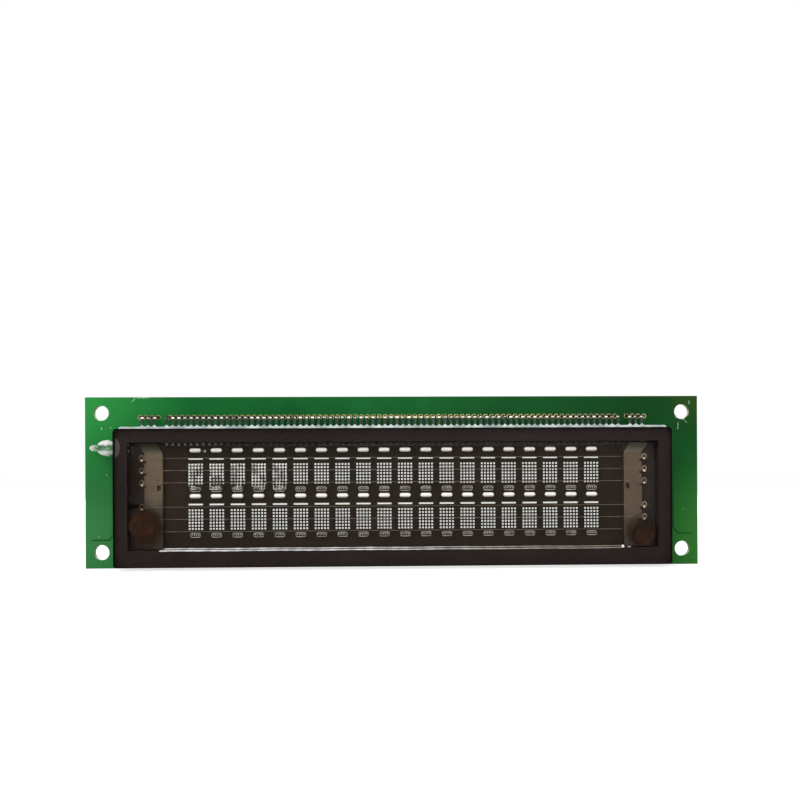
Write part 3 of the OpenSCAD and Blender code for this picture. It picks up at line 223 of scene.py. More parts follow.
# Tracks: etched copper under the solder mask. They show as slightly raised darker lines on the back,
# with tented vias where they change sides, and as one long edge beside the tube in front.
track_w = 0.32
track_rise = 0.015
mitre_limit = 0.4
back_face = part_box("circuit_board")[1].y / MM
track_routes = [
    [(-74, -4.3), (-75, -3.2), (-75, 10.9), (-69.6, 15.6), (-69.6, 17.7), (-66.8, 20.6), (-52.9, 20.6)],
    [(-73, -4), (-74, -2.8), (-74, 10.4), (-68.6, 15.2), (-68.6, 17.3), (-66.4, 19.6), (-53.4, 19.6)],
    [(-59.6, -7.7), (-58.2, -7.7), (-57.3, -9.2), (-57.3, -12.1), (-55.8, -13.6), (-47.6, -13.6),
     (-46.4, -12.7)],
    [(-57.1, 18.9), (-57.1, 14.3)],
    [(-56.1, 18.9), (-56.1, 14.3)],
    [(-77, 14.6), (-69.9, 14.6)],
    [(-26.6, 11.7), (-24.2, 13.1), (-23.3, 17), (-21.9, 18.6), (3.7, 18.6)],
    [(-22.6, 12.3), (-22.6, 16.1), (-21.3, 17.1), (0.1, 17.1)],
    [(-19.5, 17.1), (-19.5, -2.1)],
    [(-18.5, 17.1), (-18.5, -3.3), (-21.6, -6.5), (-31, -6.5)],
    [(-38.6, -1), (-33, -1), (-30.4, -3.9), (-28, -3.9)],
    [(42, -9.2), (54.6, -9.2), (56.1, -7.7), (56.1, -3)],
    [(38.5, -10.8), (55.8, -10.8)],
    [(66.4, -13.9), (67, -17.7), (65.5, -19.1), (54.9, -19.1)],
    [(68.1, 21), (68.1, 16.4)],
]
via_r = 0.4
via_hole_r = 0.16
via_rise = 0.03
single_vias = [(-29.5, -6.5), (-31, -6.5), (-28, -3.9), (-19.5, -2.1), (0.1, 17.1), (3.7, 18.6),
               (-46.4, -12.7)]
stray_vias = [(-53.4, 17.2), (-55, 16.2), (-41, 12.4), (-33.6, 12.1)]
field_corner, field_step, field_shift = (59, 19.9), (0.97, -1.03), 0.48
field_rows, field_columns = 4, 9


def row_of(count, start, step):
    """Places in a straight row, from a first place and a step."""
    return [(start[0] + step[0] * i, start[1] + step[1] * i) for i in range(count)]


via_places = []
for j in range(field_rows):
    row_start = (field_corner[0] + field_shift * (j % 2), field_corner[1] + field_step[1] * j)
    via_places += row_of(field_columns, row_start, (field_step[0], 0))
via_places += row_of(9, (47.3, -12.5), (1.1, 0))
via_places += row_of(4, (-71, 4.2), (1.2, 0)) + row_of(3, (-70.4, 3.2), (1.2, 0))
via_places += single_vias + row_of(6, (30.8, 8.2), (0, -1.3)) + stray_vias


class Plate:
    """Flat artwork on one face: closed prisms on a height y, drawn in x and z, in millimetres."""

    def __init__(self, face, rise, upturned=False):
        self.low = min(face, face + rise)
        self.high = max(face, face + rise)
        self.turn = -1 if upturned else 1
        self.points = []
        self.faces = []

    def loop(self, outline):
        """Adds an outline at both heights, anticlockwise as seen from the front, and gives its indices."""
        flat = [(x, self.turn * z) for x, z in outline]
        area = sum(a[0] * b[1] - b[0] * a[1] for a, b in zip(flat, flat[1:] + flat[:1]))
        flat = flat if area > 0 else flat[::-1]
        start = len(self.points)
        self.points += [(x, self.low, z) for x, z in flat] + [(x, self.high, z) for x, z in flat]
        count = len(flat)
        return list(range(start, start + count)), list(range(start + count, start + 2 * count))

    def wall(self, low, high):
        for i, j in zip(range(len(low)), [*range(1, len(low)), 0]):
            self.faces.append((low[j], low[i], high[i], high[j]))

    def fill(self, outline):
        low, high = self.loop(outline)
        self.faces += [low, high[::-1]]
        self.wall(low, high)

    def band(self, outer, inner):
        """A closed strip between two outlines with as many points."""
        out_low, out_high = self.loop(outer)
        in_low, in_high = self.loop(inner)
        for i, j in zip(range(len(outer)), [*range(1, len(outer)), 0]):
            self.faces.append((out_low[i], out_low[j], in_low[j], in_low[i]))
            self.faces.append((out_high[j], out_high[i], in_high[i], in_high[j]))
        self.wall(out_low, out_high)
        self.wall(in_low[::-1], in_high[::-1])

    def stroke(self, route, width):
        """A line of even width along a route, mitred at its bends."""
        left, right = [], []
        for i, (x, z) in enumerate(route):
            before = direction(route[max(i - 1, 0)], route[max(i, 1)])
            after = direction(route[min(i, len(route) - 2)], route[min(i + 1, len(route) - 1)])
            across = Vector((-before.y - after.y, before.x + after.x)).normalized()
            reach = width / 2 / max(across.dot(Vector((-before.y, before.x))), mitre_limit)
            left.append((x + across.x * reach, z + across.y * reach))
            right.append((x - across.x * reach, z - across.y * reach))
        self.fill(left + right[::-1])

    def disc(self, centre, radius, sides=20):
        self.fill(circle(centre, radius, sides))

    def ring(self, centre, radius, hole, sides=24):
        self.band(circle(centre, radius, sides), circle(centre, hole, sides))

    def frame(self, low, high, line):
        """An outline box of a given line width, from corner to corner."""
        inner_low, inner_high = (low[0] + line, low[1] + line), (high[0] - line, high[1] - line)
        self.band(box_outline(low, high), box_outline(inner_low, inner_high))

    def piece(self, name, finish, slot):
        return add_piece(name, self.points, self.faces, finish, slot)


def direction(a, b):
    return Vector((b[0] - a[0], b[1] - a[1])).normalized()


def circle(centre, radius, sides):
    turns = [2 * math.pi * i / sides for i in range(sides)]
    return [(centre[0] + radius * math.cos(a), centre[1] + radius * math.sin(a)) for a in turns]


def box_outline(low, high):
    """The corners of an upright box."""
    return [low, (high[0], low[1]), high, (low[0], high[1])]


def new_mesh(name, points, faces):
    """A mesh from points in millimetres."""
    mesh = bpy.data.meshes.new(name)
    mesh.from_pydata([Vector(point) * MM for point in points], [], faces)
    return mesh


def add_piece(name, points, faces, finish, slot):
    """A new piece of the object from points in millimetres, fixed to the one body."""
    mesh = new_mesh(name, points, faces)
    mesh.materials.append(finish)
    return fix_piece(bpy.data.objects.new(name, mesh))


def fix_piece(piece):
    bpy.context.scene.collection.objects.link(piece)
    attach(piece, "root")
    return piece


def geometry_tree(name, inputs):
    """An empty Geometry Nodes tree with named inputs after its geometry."""
    tree = bpy.data.node_groups.new(name, "GeometryNodeTree")
    tree.interface.new_socket("Geometry", in_out="INPUT", socket_type="NodeSocketGeometry")
    for label, kind in inputs:
        tree.interface.new_socket(label, in_out="INPUT", socket_type=kind)
    tree.interface.new_socket("Geometry", in_out="OUTPUT", socket_type="NodeSocketGeometry")
    return tree, tree.nodes.new("NodeGroupInput").outputs, tree.nodes.new("NodeGroupOutput")


repeat, given, result = geometry_tree("repeat_on_places", [
    ("Shape", "NodeSocketObject"), ("Smallest", VECTOR), ("Largest", VECTOR), ("Turn", FLOAT),
    ("Seed", "NodeSocketInt"), ("Finish", "NodeSocketMaterial")])
shape = add_node(repeat, "GeometryNodeObjectInfo", {"Object": given["Shape"]})
sizes = add_node(repeat, "FunctionNodeRandomValue", {"Min": given["Smallest"], "Max": given["Largest"],
                                                     "Seed": given["Seed"]}, data_type="FLOAT_VECTOR")
least_turn = compute(repeat, "MULTIPLY", given["Turn"], -1.0)
turns = add_node(repeat, "FunctionNodeRandomValue", {2: least_turn, 3: given["Turn"],
                                                     "Seed": given["Seed"]}, data_type="FLOAT")
spin = add_node(repeat, "ShaderNodeCombineXYZ", {"Y": turns.outputs[1]})
copies = add_node(repeat, "GeometryNodeInstanceOnPoints", {
    "Points": given["Geometry"], "Instance": shape.outputs["Geometry"], "Rotation": spin.outputs[0],
    "Scale": sizes.outputs[0]})
real = add_node(repeat, "GeometryNodeRealizeInstances", {"Geometry": copies.outputs[0]})
dressed = add_node(repeat, "GeometryNodeSetMaterial",
                   {"Geometry": real.outputs[0], "Material": given["Finish"]})
repeat.links.new(dressed.outputs[0], result.inputs[0])


def grow(name, tree, places, values):
    """Runs a Geometry Nodes tree on places in millimetres, and keeps its result as a plain mesh."""
    carrier = bpy.data.objects.new(name + "_carrier", new_mesh(name + "_places", places, []))
    bpy.context.scene.collection.objects.link(carrier)
    modifier = carrier.modifiers.new("grow", "NODES")
    modifier.node_group = tree
    for socket in tree.interface.items_tree:
        if socket.in_out == "INPUT" and socket.name in values:
            modifier[socket.identifier] = values[socket.name]
    bpy.context.view_layer.update()
    ready = carrier.evaluated_get(bpy.context.evaluated_depsgraph_get())
    piece = bpy.data.objects.new(name, bpy.data.meshes.new_from_object(ready))
    piece.data.name = name
    carrier.modifiers.remove(modifier)
    bpy.data.objects.remove(carrier)
    return fix_piece(piece)


def pattern_shape(points, faces):
    """A small shape for a tree to repeat, in millimetres round its own middle. It is removed after use."""
    return bpy.data.objects.new("pattern_shape", new_mesh("pattern_shape", points, faces))


def repeat_shape(name, shape, places, finish, smallest=(1, 1, 1), largest=(1, 1, 1), turn=0.0,
                 seed=1):
    """Repeats a small shape on places, with its size and turn drawn between two limits."""
    values = {"Shape": shape, "Smallest": smallest, "Largest": largest, "Turn": turn, "Seed": seed,
              "Finish": finish}
    piece = grow(name, repeat, places, values)
    bpy.data.objects.remove(shape)
    return piece


covered_copper = mottled("covered_copper", (17, 82, 38), (12, 68, 31), 160, rough=(0.3, 0.4), specular=dull)
tracks = Plate(back_face, track_rise, upturned=True)


def draw_routes(plate, routes, width, shift=(0, 0)):
    """Lines on a plate along several routes, all shifted by the same step."""
    for route in routes:
        plate.stroke([(x + shift[0], up + shift[1]) for x, up in route], width)


draw_routes(tracks, track_routes, track_w)
driver_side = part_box("right_driver_leads")[1].x / MM
driver_fan = [(0.4, 0), (1.6, 0), (3, -0.9)]
for fan_place in row_of(8, (driver_side, 2.3), (0, -1.17)):
    draw_routes(tracks, [driver_fan], track_w, fan_place)
buffer_left, buffer_right = [corner.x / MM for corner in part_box("buffer_leads")]
controller_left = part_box("controller_leads")[0].x / MM
buffer_fan = [[(buffer_right + 0.3, 0), (buffer_right + 1.4, 0.3), (controller_left - 0.3, 0.3)],
              [(buffer_left - 0.3, 0), (buffer_left - 1.5, 0), (buffer_left - 3, 1.5)]]
for fan_place in row_of(6, (0, 4.2), (0, -0.98)):
    draw_routes(tracks, buffer_fan, track_w, fan_place)
splay_count, splay_inset, splay_pitch, splay_w = 14, 2.6, 1.5, 0.256
splay_drops = (0.6, 1.4, 3.2, 5)
for driver in ("left_driver_leads", "right_driver_leads"):
    low, high = [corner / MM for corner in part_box(driver)]
    start_pitch = (high.x - low.x - 2 * splay_inset) / (splay_count - 1)
    for i in range(splay_count):
        start_x = low.x + splay_inset + i * start_pitch
        end_x = (low.x + high.x) / 2 + (i - (splay_count - 1) / 2) * splay_pitch
        splay_x = (start_x, start_x, end_x, end_x)
        tracks.stroke([(x, -high.z - drop) for x, drop in zip(splay_x, splay_drops)], splay_w)
tracks.piece("tracks", covered_copper, "solder_mask")

front_track_w = 0.35
front_routes = [[(-70.6, 12), (-70.6, -13), (-71.6, -14.4), (-76, -14.4)],
                [(71.2, 13), (71.2, -12), (72.4, -13.6), (76, -13.6)]]
front_edge = Plate(0, -track_rise)
draw_routes(front_edge, front_routes, front_track_w)
front_edge.piece("front_tracks", covered_copper, "solder_mask")

via_finish = mottled("tented_via", (60, 140, 84), (30, 104, 56), 700, rough=(0.35, 0.45), specular=dull)
via_sides = 14
via_ring = Plate(0, via_rise)
via_ring.ring((0, 0), via_r, via_hole_r, via_sides)
repeat_shape("vias", pattern_shape(via_ring.points, via_ring.faces),
             [(x, back_face, -up) for x, up in via_places], via_finish,
             smallest=(0.85, 1, 0.85), largest=(1.05, 1, 1.05), seed=3)

# Scuffs: short pale scratches where handling broke the gloss of the mask, most of them near the upper
# corners in front. On the back, flux and solder left broken pale marks beside the lead row.
scuff_routes = [[(-65.9, 20.3), (-65.0, 21.3)], [(-64.6, 21.3), (-61.4, 21.35)],
                [(-73.5, 13.9), (-73.3, 13.3)], [(-71.3, 14.0), (-71.1, 13.7)],
                [(72.6, 14.7), (72.5, 13.0)], [(72.0, 16.7), (72.1, 15.9)],
                [(73.8, 15.7), (74.4, 15.1), (74.9, 14.7)], [(75.5, 20.3), (75.4, 19.4)],
                [(-74.2, -13.3), (-74.0, -13.7)], [(-72.3, 2.1), (-72.1, 1.8)]]
scuff_w = 0.14
dash_count, dash_start, dash_pitch, dash_len = 9, (-48, -14.3), 3.2, 1.4
dash_drop = 0.05
hook_count, hook_start, hook_pitch, hook_w = 16, (-12, -11), 0.72, 0.224
hook_foot, hook_head = 0.9, (0.5, 0.6)
pale_scuff = mottled("pale_scuff", (214, 226, 208), (128, 170, 132), 1500, rough=(0.5, 0.65))
scuffs = Plate(0, -track_rise)
draw_routes(scuffs, scuff_routes, scuff_w)
scuffs.piece("mask_scuffs", pale_scuff, "solder_mask")
back_scuffs = Plate(back_face, 2 * track_rise, upturned=True)


def waver(reach, rate, i):
    """An uneven step that comes out the same each time."""
    return reach * math.sin(rate * i)


for i in range(dash_count):
    x, up = dash_start[0] + dash_pitch * i, dash_start[1]
    back_scuffs.stroke([(x, up + waver(0.12, 1.9, i)), (x + dash_len + waver(0.7, 2.6, i), up - dash_drop)],
                       scuff_w)
for i in range(hook_count):
    x, up = hook_start[0] + hook_pitch * i, hook_start[1] + waver(1.3, 1.7, i)
    back_scuffs.stroke([(x, up - hook_foot), (x + waver(0.3, 2.3, i), up),
                        (x + hook_head[0], up + hook_head[1] + waver(0.4, 3.1, i))], hook_w)
back_scuffs.piece("back_scuffs", pale_scuff, "solder_mask")

# Silkscreen: pale epoxy ink printed on the mask round the parts. It stands a hair above the board, a
# little thin and broken where the ink missed. Only outlines, ticks and arrows are printed here.
MICRONS = 1e6
ink_rise = 0.022
ink_line = 0.24
ink_gap = 0.45
tick_every, tick_reach = 5, 1.1
corner_gap, corner_foot, corner_arm = 0.25, 0.3, 0.8
pin_margin, core_margin, core_step = 0.6, 2.0, 0.65
can_gap, can_foot, can_chamfer = 0.3, 2.5, 2.2
header_gap_low, header_gap_high = (0.3, 0.55), (0.75, 0.3)
plus_band = 0.8
tantalum_gap, tantalum_band = 0.4, (0.1, 0.6)
test_ring_r, test_ring_hole = 1.25, 1.07
pill_steps = 10


def solids_of(node):
    """The boxes of a node's separate solids, in millimetres, as pairs of low and high corners."""
    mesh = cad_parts[node].data
    parent = {}

    def root(key):
        while parent[key] != key:
            key = parent[key]
        return key

    keys = [tuple(round(value * MICRONS) for value in vertex.co) for vertex in mesh.vertices]
    for key in keys:
        parent.setdefault(key, key)
    for polygon in mesh.polygons:
        first = root(keys[polygon.vertices[0]])
        for index in polygon.vertices[1:]:
            parent[root(keys[index])] = first
    groups = {}
    for key in parent:
        groups.setdefault(root(key), []).append(key)
    boxes = []
    for points in groups.values():
        columns = list(zip(*points))
        low, high = Vector([min(c) for c in columns]), Vector([max(c) for c in columns])
        boxes.append((low / (MM * MICRONS), high / (MM * MICRONS)))
    return sorted(boxes, key=lambda box: tuple(box[0]))


def flat_box(boxes, margin=0.0):
    """The box round some solids as the back is read: low and high corners in x and up."""
    low = (min(b[0].x for b in boxes) - margin, min(-b[1].z for b in boxes) - margin)
    high = (max(b[1].x for b in boxes) + margin, max(-b[0].z for b in boxes) + margin)
    return low, high


def meets(a, b, slack=0.06):
    return all(a[0][i] <= b[1][i] + slack and b[0][i] <= a[1][i] + slack for i in range(3))


ink = mottled("silkscreen_ink", (238, 241, 237), (216, 223, 215), 900, rough=(0.5, 0.62), bump=0.1)
silk = Plate(back_face, ink_rise, upturned=True)


def ink_box(solids, margin=ink_gap):
    """Prints an outline round some solids, and gives its corners."""
    low, high = flat_box(solids, margin)
    silk.frame(low, high, ink_line)
    return low, high


for bodies, ends in (("chip_capacitors", "chip_end_caps"), ("chip_resistors", "chip_end_caps"),
                     ("gate_bodies", "gate_leads"), ("buffer_body", "buffer_leads"),
                     ("left_driver_body", "left_driver_leads"),
                     ("right_driver_body", "right_driver_leads")):
    end_boxes = solids_of(ends)
    for body in solids_of(bodies):
        ink_box([body] + [end for end in end_boxes if meets(body, end)])
arrow_half, arrow_len = 0.6, 1.2
arrow_places = [(-61.4, 8.0, 0, 1), (-65.0, 6.1, 0, -1), (-36.6, 6.1, 0, -1), (26.5, -7.7, 0, 1),
                (-52.9, -3.9, 1, 0), (69.0, 1.5, -1, 0), (-50.8, 13.0, 0, 1)]
for x, up, ahead, above in arrow_places:
    back_x, back_up = x - ahead * arrow_len / 2, up - above * arrow_len / 2
    silk.fill([(x + ahead * arrow_len / 2, up + above * arrow_len / 2),
               (back_x - above * arrow_half, back_up + ahead * arrow_half),
               (back_x + above * arrow_half, back_up - ahead * arrow_half)])
for node in ("resistor_arrays", "resonator"):
    for body in solids_of(node):
        ink_box([body])
for node in ("left_driver_leads", "right_driver_leads"):
    leads = solids_of(node)
    low, high = flat_box(leads)
    heights = sorted({round(-(a.z + b.z) / 2, 3) for a, b in leads}, reverse=True)
    for up in heights[tick_every - 1::tick_every]:
        silk.stroke([(low[0] - tick_reach, up), (low[0] - ink_gap, up)], ink_line)
        silk.stroke([(high[0] + ink_gap, up), (high[0] + tick_reach, up)], ink_line)
for low, high in [flat_box([body], corner_gap) for body in solids_of("transistor_bodies")]:
    for x, inward in ((low[0], 1), (high[0], -1)):
        silk.stroke([(x, low[1] + corner_foot), (x, high[1]), (x + inward * corner_arm, high[1])], ink_line)
for body, metal in (("reset_body", "reset_leads"), ("regulator_body", "regulator_tab")):
    ink_box(solids_of(body) + solids_of(metal))
pin_low, pin_high = flat_box(solids_of("transformer_pins"), pin_margin)
core_low, core_high = flat_box(solids_of("transformer_core"), core_margin)
pin_side, core_side = pin_high[0], pin_high[0] + core_step
right_side = [(pin_side, pin_low[1]), (pin_side, core_low[1]), (core_side, core_low[1]),
              (core_side, core_high[1]), (pin_side, core_high[1]), (pin_side, pin_high[1])]
left_side = [(pin_low[0] + pin_high[0] - x, up) for x, up in right_side]
stepped = right_side + left_side[::-1]
for a, b in zip(stepped, stepped[1:] + stepped[:1]):
    silk.stroke([a, b], ink_line)
for low, high in [flat_box([base], can_gap) for base in solids_of("capacitor_bases")]:
    corner = high[1] - can_chamfer
    for x, inward in ((low[0], 1), (high[0], -1)):
        silk.stroke([(x, low[1] + can_foot), (x, corner), (x + inward * can_chamfer, high[1])], ink_line)
low, high = flat_box(solids_of("header_body"))
silk.frame((low[0] - header_gap_low[0], low[1] - header_gap_low[1]),
           (high[0] + header_gap_high[0], high[1] + header_gap_high[1]), ink_line)
empty_pads = ((-40.85, -11.15), (-38.15, -5.85))
low, high = [(x + side * ink_gap, up + side * ink_gap) for side, (x, up) in zip((-1, 1), empty_pads)]
silk.frame(low, high, ink_line)
silk.fill(box_outline((low[0], high[1]), (high[0], high[1] + plus_band)))
low, high = ink_box(solids_of("tantalum_body") + solids_of("tantalum_terminals"), tantalum_gap)
silk.fill(box_outline((low[0], high[1] + tantalum_band[0]), (high[0], high[1] + tantalum_band[1])))
test_places = [(47.5, 18.7), (72.7, -10), (-73.2, -5.2), (-73.3, -11.1)]
for test_place in test_places:
    silk.ring(test_place, test_ring_r, test_ring_hole)
jumper_places = [(-65.9, -12), (-63.4, -12), (-60.9, -12)]
pill_r, pill_half = 1.15, 1.0
pill_arc = [(pill_r * math.cos(a), pill_half + pill_r * math.sin(a))
            for a in [math.pi * i / pill_steps for i in range(pill_steps + 1)]]
pill = pill_arc + [(-x, -up) for x, up in pill_arc]
pill_inset = 1 - ink_line / pill_r
for x, up in jumper_places:
    silk.band([(x + px, up + pu) for px, pu in pill],
              [(x + px * pill_inset, up + pu * pill_inset) for px, pu in pill])
square_low, square_high = (30.95, -14.85), (35.65, -10.15)
silk.fill(box_outline(square_low, square_high))
silk.piece("silkscreen", ink, "solder_mask")

# Copper lands: gold-flashed copper, bare round the lead holes, on test points, fiducials and jumpers, and
# under the solder at every chip lead. Two of the three jumpers carry a blob of solder.
bare_copper = mottled("tinned_lands", (206, 203, 192), (156, 154, 144), 1600, rough=(0.25, 0.4),
                      metallic=0.6)
spot_gold, jumper_gold, ring_gold = (158, 122, 76), (164, 118, 66), (136, 120, 70)
fiducial_places = [(-75.6, 13), (-68.2, -16.8), (73.1, 12.1)]
gold_places = [(x, up, 1.0) for x, up in test_places[:3]] + [(x, up, 0.6) for x, up in fiducial_places]
for x, up, reach in gold_places:
    over(bare_copper, spot_on(bare_copper, (x, 0, -up), reach, 1.1 * reach), spot_gold)
jumper_x, jumper_up = jumper_places[0]
over(bare_copper, spot_on(bare_copper, (jumper_x, 0, -jumper_up), 1.9, 2.0, (1.6, 0, 1)), jumper_gold)
over(bare_copper, spot_on(bare_copper, (0, 0, 0), 0.4, 0.8, (0, 1, 0)), ring_gold)
dress(bare_copper, "copper_lands")

tin = mottled("solder", (232, 232, 228), (180, 182, 182), 1300, rough=(0.22, 0.4), metallic=0.75, bump=0.2)
dress(tin, "solder_joints")


def dome(centre, reach, height, sides=16, rings=5):
    """A rounded blob: points and faces of half an ellipsoid with a flat foot, raised along y."""
    points, faces = [], []
    for j in range(rings):
        lift = math.pi / 2 * j / rings
        for i in range(sides):
            a = 2 * math.pi * i / sides
            points.append((centre[0] + reach[0] * math.cos(a) * math.cos(lift),
                           centre[1] + height * math.sin(lift),
                           centre[2] + reach[1] * math.sin(a) * math.cos(lift)))
    points.append((centre[0], centre[1] + height, centre[2]))
    top = len(points) - 1
    outward = 1 if height > 0 else -1
    faces.append(tuple(range(sides))[::outward])
    for i in range(sides):
        j = (i + 1) % sides
        for k in range(rings - 1):
            quad = (k * sides + j, k * sides + i, (k + 1) * sides + i, (k + 1) * sides + j)
            faces.append(quad[::outward])
        faces.append(((rings - 1) * sides + j, (rings - 1) * sides + i, top)[::outward])
    return points, faces


tail_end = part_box("lead_pins")[1].y / MM
joint_reach, joint_cap, joint_drop = (0.58, 0.92), 0.15, 0.1
joint_height = tail_end - back_face + joint_cap
joint_shape = pattern_shape(*dome((0, 0, 0), joint_reach, joint_height, sides=10, rings=4))
lead_nodes = ("lead_pins", "filament_pins")
tail_places = [((low.x + high.x) / 2, back_face, high.z + joint_drop)
               for node in lead_nodes for low, high in solids_of(node)]
lead_tin = mottled("lead_tin", (255, 254, 246), (236, 228, 204), 1100, rough=(0.2, 0.35), metallic=0.1)
repeat_shape("lead_tin", joint_shape, tail_places, lead_tin, smallest=(0.82, 0.8, 0.85),
             largest=(1.02, 1.1, 1.1), turn=0.18, seed=23)


def joined(shapes):
    """The points and faces of several shapes as those of one."""
    all_points, all_faces = [], []
    for points, faces in shapes:
        all_faces += [[index + len(all_points) for index in face] for face in faces]
        all_points += points
    return all_points, all_faces


blob_reach, blob_height, blob_lift = (0.75, 1.75), 0.45, 0.05
blobs = [dome((x, back_face + blob_lift, -up), blob_reach, blob_height) for x, up in jumper_places[1:]]
add_piece("jumper_solder", *joined(blobs), tin, "solder")

# Foam tape: strips of grey-white double-sided foam that hold the tube on the board. They show only as
# a thin line between the glass and the board.
foam = mottled("foam", (205, 200, 190), (176, 170, 160), 1500, rough=(0.85, 0.95), bump=0.6,
               bump_scale=5000)
dress(foam, "foam_tape")

# Base plate and print: soda-lime glass that carries the wiring, covered with black and dark olive
# insulating paste inside the tube. The dots and bonds are printed and fired on top of it.
base_glass = mottled("base_glass", (48, 41, 38), (42, 36, 33), 60, rough=(0.2, 0.3), specular=dull)
dress(base_glass, "base_plate")
black_print = mottled("black_print", (47, 38, 31), (41, 34, 27), 40, rough=(0.6, 0.75), specular=dull)
dress(black_print, "printed_layer")

# Glass frame: four spacer walls between base plate and cover, joined by fired glass paste called frit.
# The walls are painted lighter than their glass, as painted light in the shade of the chamber. The rear
# seam is painted white above the lead edge, as painted light where it faces up, and the front seam is
# black. Opposite the leads two bright lines are painted along the chamber: a painted highlight on the
# upward inner face of the lower wall, and its painted reflection in the base plate.
# Painted light: the wall tones are raised to make up for the shade inside the chamber.
wall_glass = mottled("wall_glass", (60, 52, 49), (52, 45, 42), 200, rough=(0.3, 0.45), specular=dull)
dress(wall_glass, "spacer_walls")
lower, given, result = shader_group("lower", [("Height", FLOAT, 0.0)], "Mask")
place = add_node(lower, "ShaderNodeTexCoord").outputs["Object"]
rise = add_node(lower, "ShaderNodeSeparateXYZ", {0: place}).outputs["Z"]
lower.links.new(compute(lower, "LESS_THAN", rise, given["Height"]), result.inputs[0])
frit_edge = 12.9
frit_below = (44, 40, 40)
white_frit = mottled("white_frit", (226, 236, 233), (162, 176, 173), 420, rough=(0.35, 0.5), bump=0.4)
# Painted light: the seam is white above the lead edge, where it faces up into the light, and dark grey
# below.
over(white_frit, mask_of(white_frit, lower, Height=frit_edge * MM), frit_below)
dress(white_frit, "rear_frit_seal")
dark_frit = mottled("dark_frit", (39, 31, 29), (34, 27, 26), 40, rough=(0.5, 0.65), specular=dull)
dress(dark_frit, "front_frit_seal")

cover_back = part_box("cover_glass")[1].y / MM
film_t = 0.02
line_low, line_high = -57.4, 57.2
line_step = 0.8
base_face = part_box("base_plate")[0].y / MM
chamber_rise = 4.1
chamber_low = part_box("rear_frit_seal")[0].z / MM + chamber_rise
glint_fade_grey = (196, 188, 174)
bead_rise = -0.12
base_line_up, cover_line_up = 0.2, -0.05
swell, swell_rate, second_rate, second_start = 0.16, 1.7, 0.61, 1.0
sag, sag_rate = 0.03, 0.23
frit_glint_line = mottled("frit_glint_line", (255, 254, 252), (208, 207, 205), 260, rough=(0.35, 0.5))
# The painted bright lines fade to grey towards the right.
over(frit_glint_line, spot_on(frit_glint_line, (60, 0, -20), 10, 75), glint_fade_grey)


def wavy_line(name, plate, middle, width, thinning):
    """A painted bright line along the chamber in short lengths of uneven width, thinner towards the right.
    """
    count = int((line_high - line_low) / line_step)
    for i in range(count):
        swing = waver(swell, swell_rate, i) + swell * math.sin(second_rate * i + second_start)
        x = line_low + i * line_step
        thick = width * (1 - thinning * i / count) * (1 + swing)
        sags = [waver(sag, sag_rate, step) for step in (i, i + 1)]
        plate.stroke([(x, middle + sags[0]), (x + line_step, middle + sags[1])], thick)
    return plate.piece(name, frit_glint_line, "white_frit")


base_line = Plate(base_face, bead_rise)
corner_turn, corner_w = [(-0.9, 0.75), (-0.6, 0.3), (0, 0.1)], 0.22
draw_routes(base_line, [corner_turn], corner_w, (line_low, chamber_low))
wavy_line("base_frit_line", base_line, chamber_low + base_line_up, width=0.26, thinning=0.6)
cover_line = Plate(cover_back, -film_t)
wavy_line("cover_frit_line", cover_line, chamber_low + cover_line_up, width=0.3, thinning=0.65)
frit_spots = Plate(cover_back, -film_t)
spot_ahead, spot_up, spot_r = -0.6, 0.35, 0.34
dash_route, dash_w = [(0.6, 0.2), (1.3, 0.15)], 0.16
frit_spots.disc((line_high + spot_ahead, chamber_low + spot_up), spot_r)
draw_routes(frit_spots, [dash_route], dash_w, (line_high, chamber_low))
spot_white = mottled("frit_spots", (248, 248, 246), (222, 222, 218), 900, rough=(0.35, 0.5))
frit_spots.piece("frit_spots", spot_white, "white_frit")

# Leads: stamped strips of dull nickel-iron alloy, sealed in the frit, bent back to the board and soldered
# there, with a bead of tin that shows in front. The alloy is painted dark and greenish as painted shade,
# and the bend at the top of each lead is painted white as a painted glint. Inside the glass each ends in a
# small grey paste contact.
# Painted shade: the alloy's tones are dark and greenish.
lead_alloy = mottled("lead_alloy", (42, 56, 45), (21, 34, 26), 900, rough=(0.4, 0.55), metallic=0.35,
                     bump=0.2)
lead_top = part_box("lead_pins")[1].z
# Painted glint: a broken white band just below the top of each lead.
hip_top, hip_foot, hip_glint = 0.28, 0.62, (250, 250, 244)
below_top = mask_of(lead_alloy, lower, Height=lead_top - hip_top * MM)
below_foot = mask_of(lead_alloy, lower, Height=lead_top - hip_foot * MM)
glint_band = compute(lead_alloy.node_tree, "SUBTRACT", below_top, below_foot)
uneven = mask_of(lead_alloy, mottle, Scale=900.0, Low=0.36, High=0.56)
over(lead_alloy, compute(lead_alloy.node_tree, "MULTIPLY", glint_band, uneven), hip_glint)
dress(lead_alloy, *lead_nodes)
contact_paste = mottled("contact_paste", (74, 69, 64), (50, 47, 43), 900, rough=(0.5, 0.6), specular=dull)
pale_contact = (138, 132, 122)
over(contact_paste, spot_on(contact_paste, (-52, 0, 9.4), 4, 13), pale_contact)
dress(contact_paste, "lead_contacts")
dull_tin = mottled("dull_tin", (112, 104, 80), (40, 40, 32), 1300, rough=(0.35, 0.5))
tin_reach, tin_height, tin_rise = (0.4, 0.34), -0.3, 0.14
tin_shape = pattern_shape(*dome((0, 0, 0), tin_reach, tin_height, sides=10, rings=3))
tin_places = [((low.x + high.x) / 2, 0, high.z + tin_rise)
              for node in lead_nodes for low, high in solids_of(node)]
repeat_shape("front_tin", tin_shape, tin_places, dull_tin, smallest=(0.65, 0.7, 0.7),
             largest=(1.1, 1.2, 1.15), turn=0.5, seed=17)

# Dots and cursor bars: pale zinc-oxide phosphor, which glows blue-green where electrons strike it. It is
# printed on the anodes of the base plate and fired to a fine chalky coat.
phosphor = mottled("phosphor", (255, 255, 252), (246, 248, 244), 240, rough=(0.75, 0.85))
dress(phosphor, "upper_dots", "lower_dots", "cursor_bars")
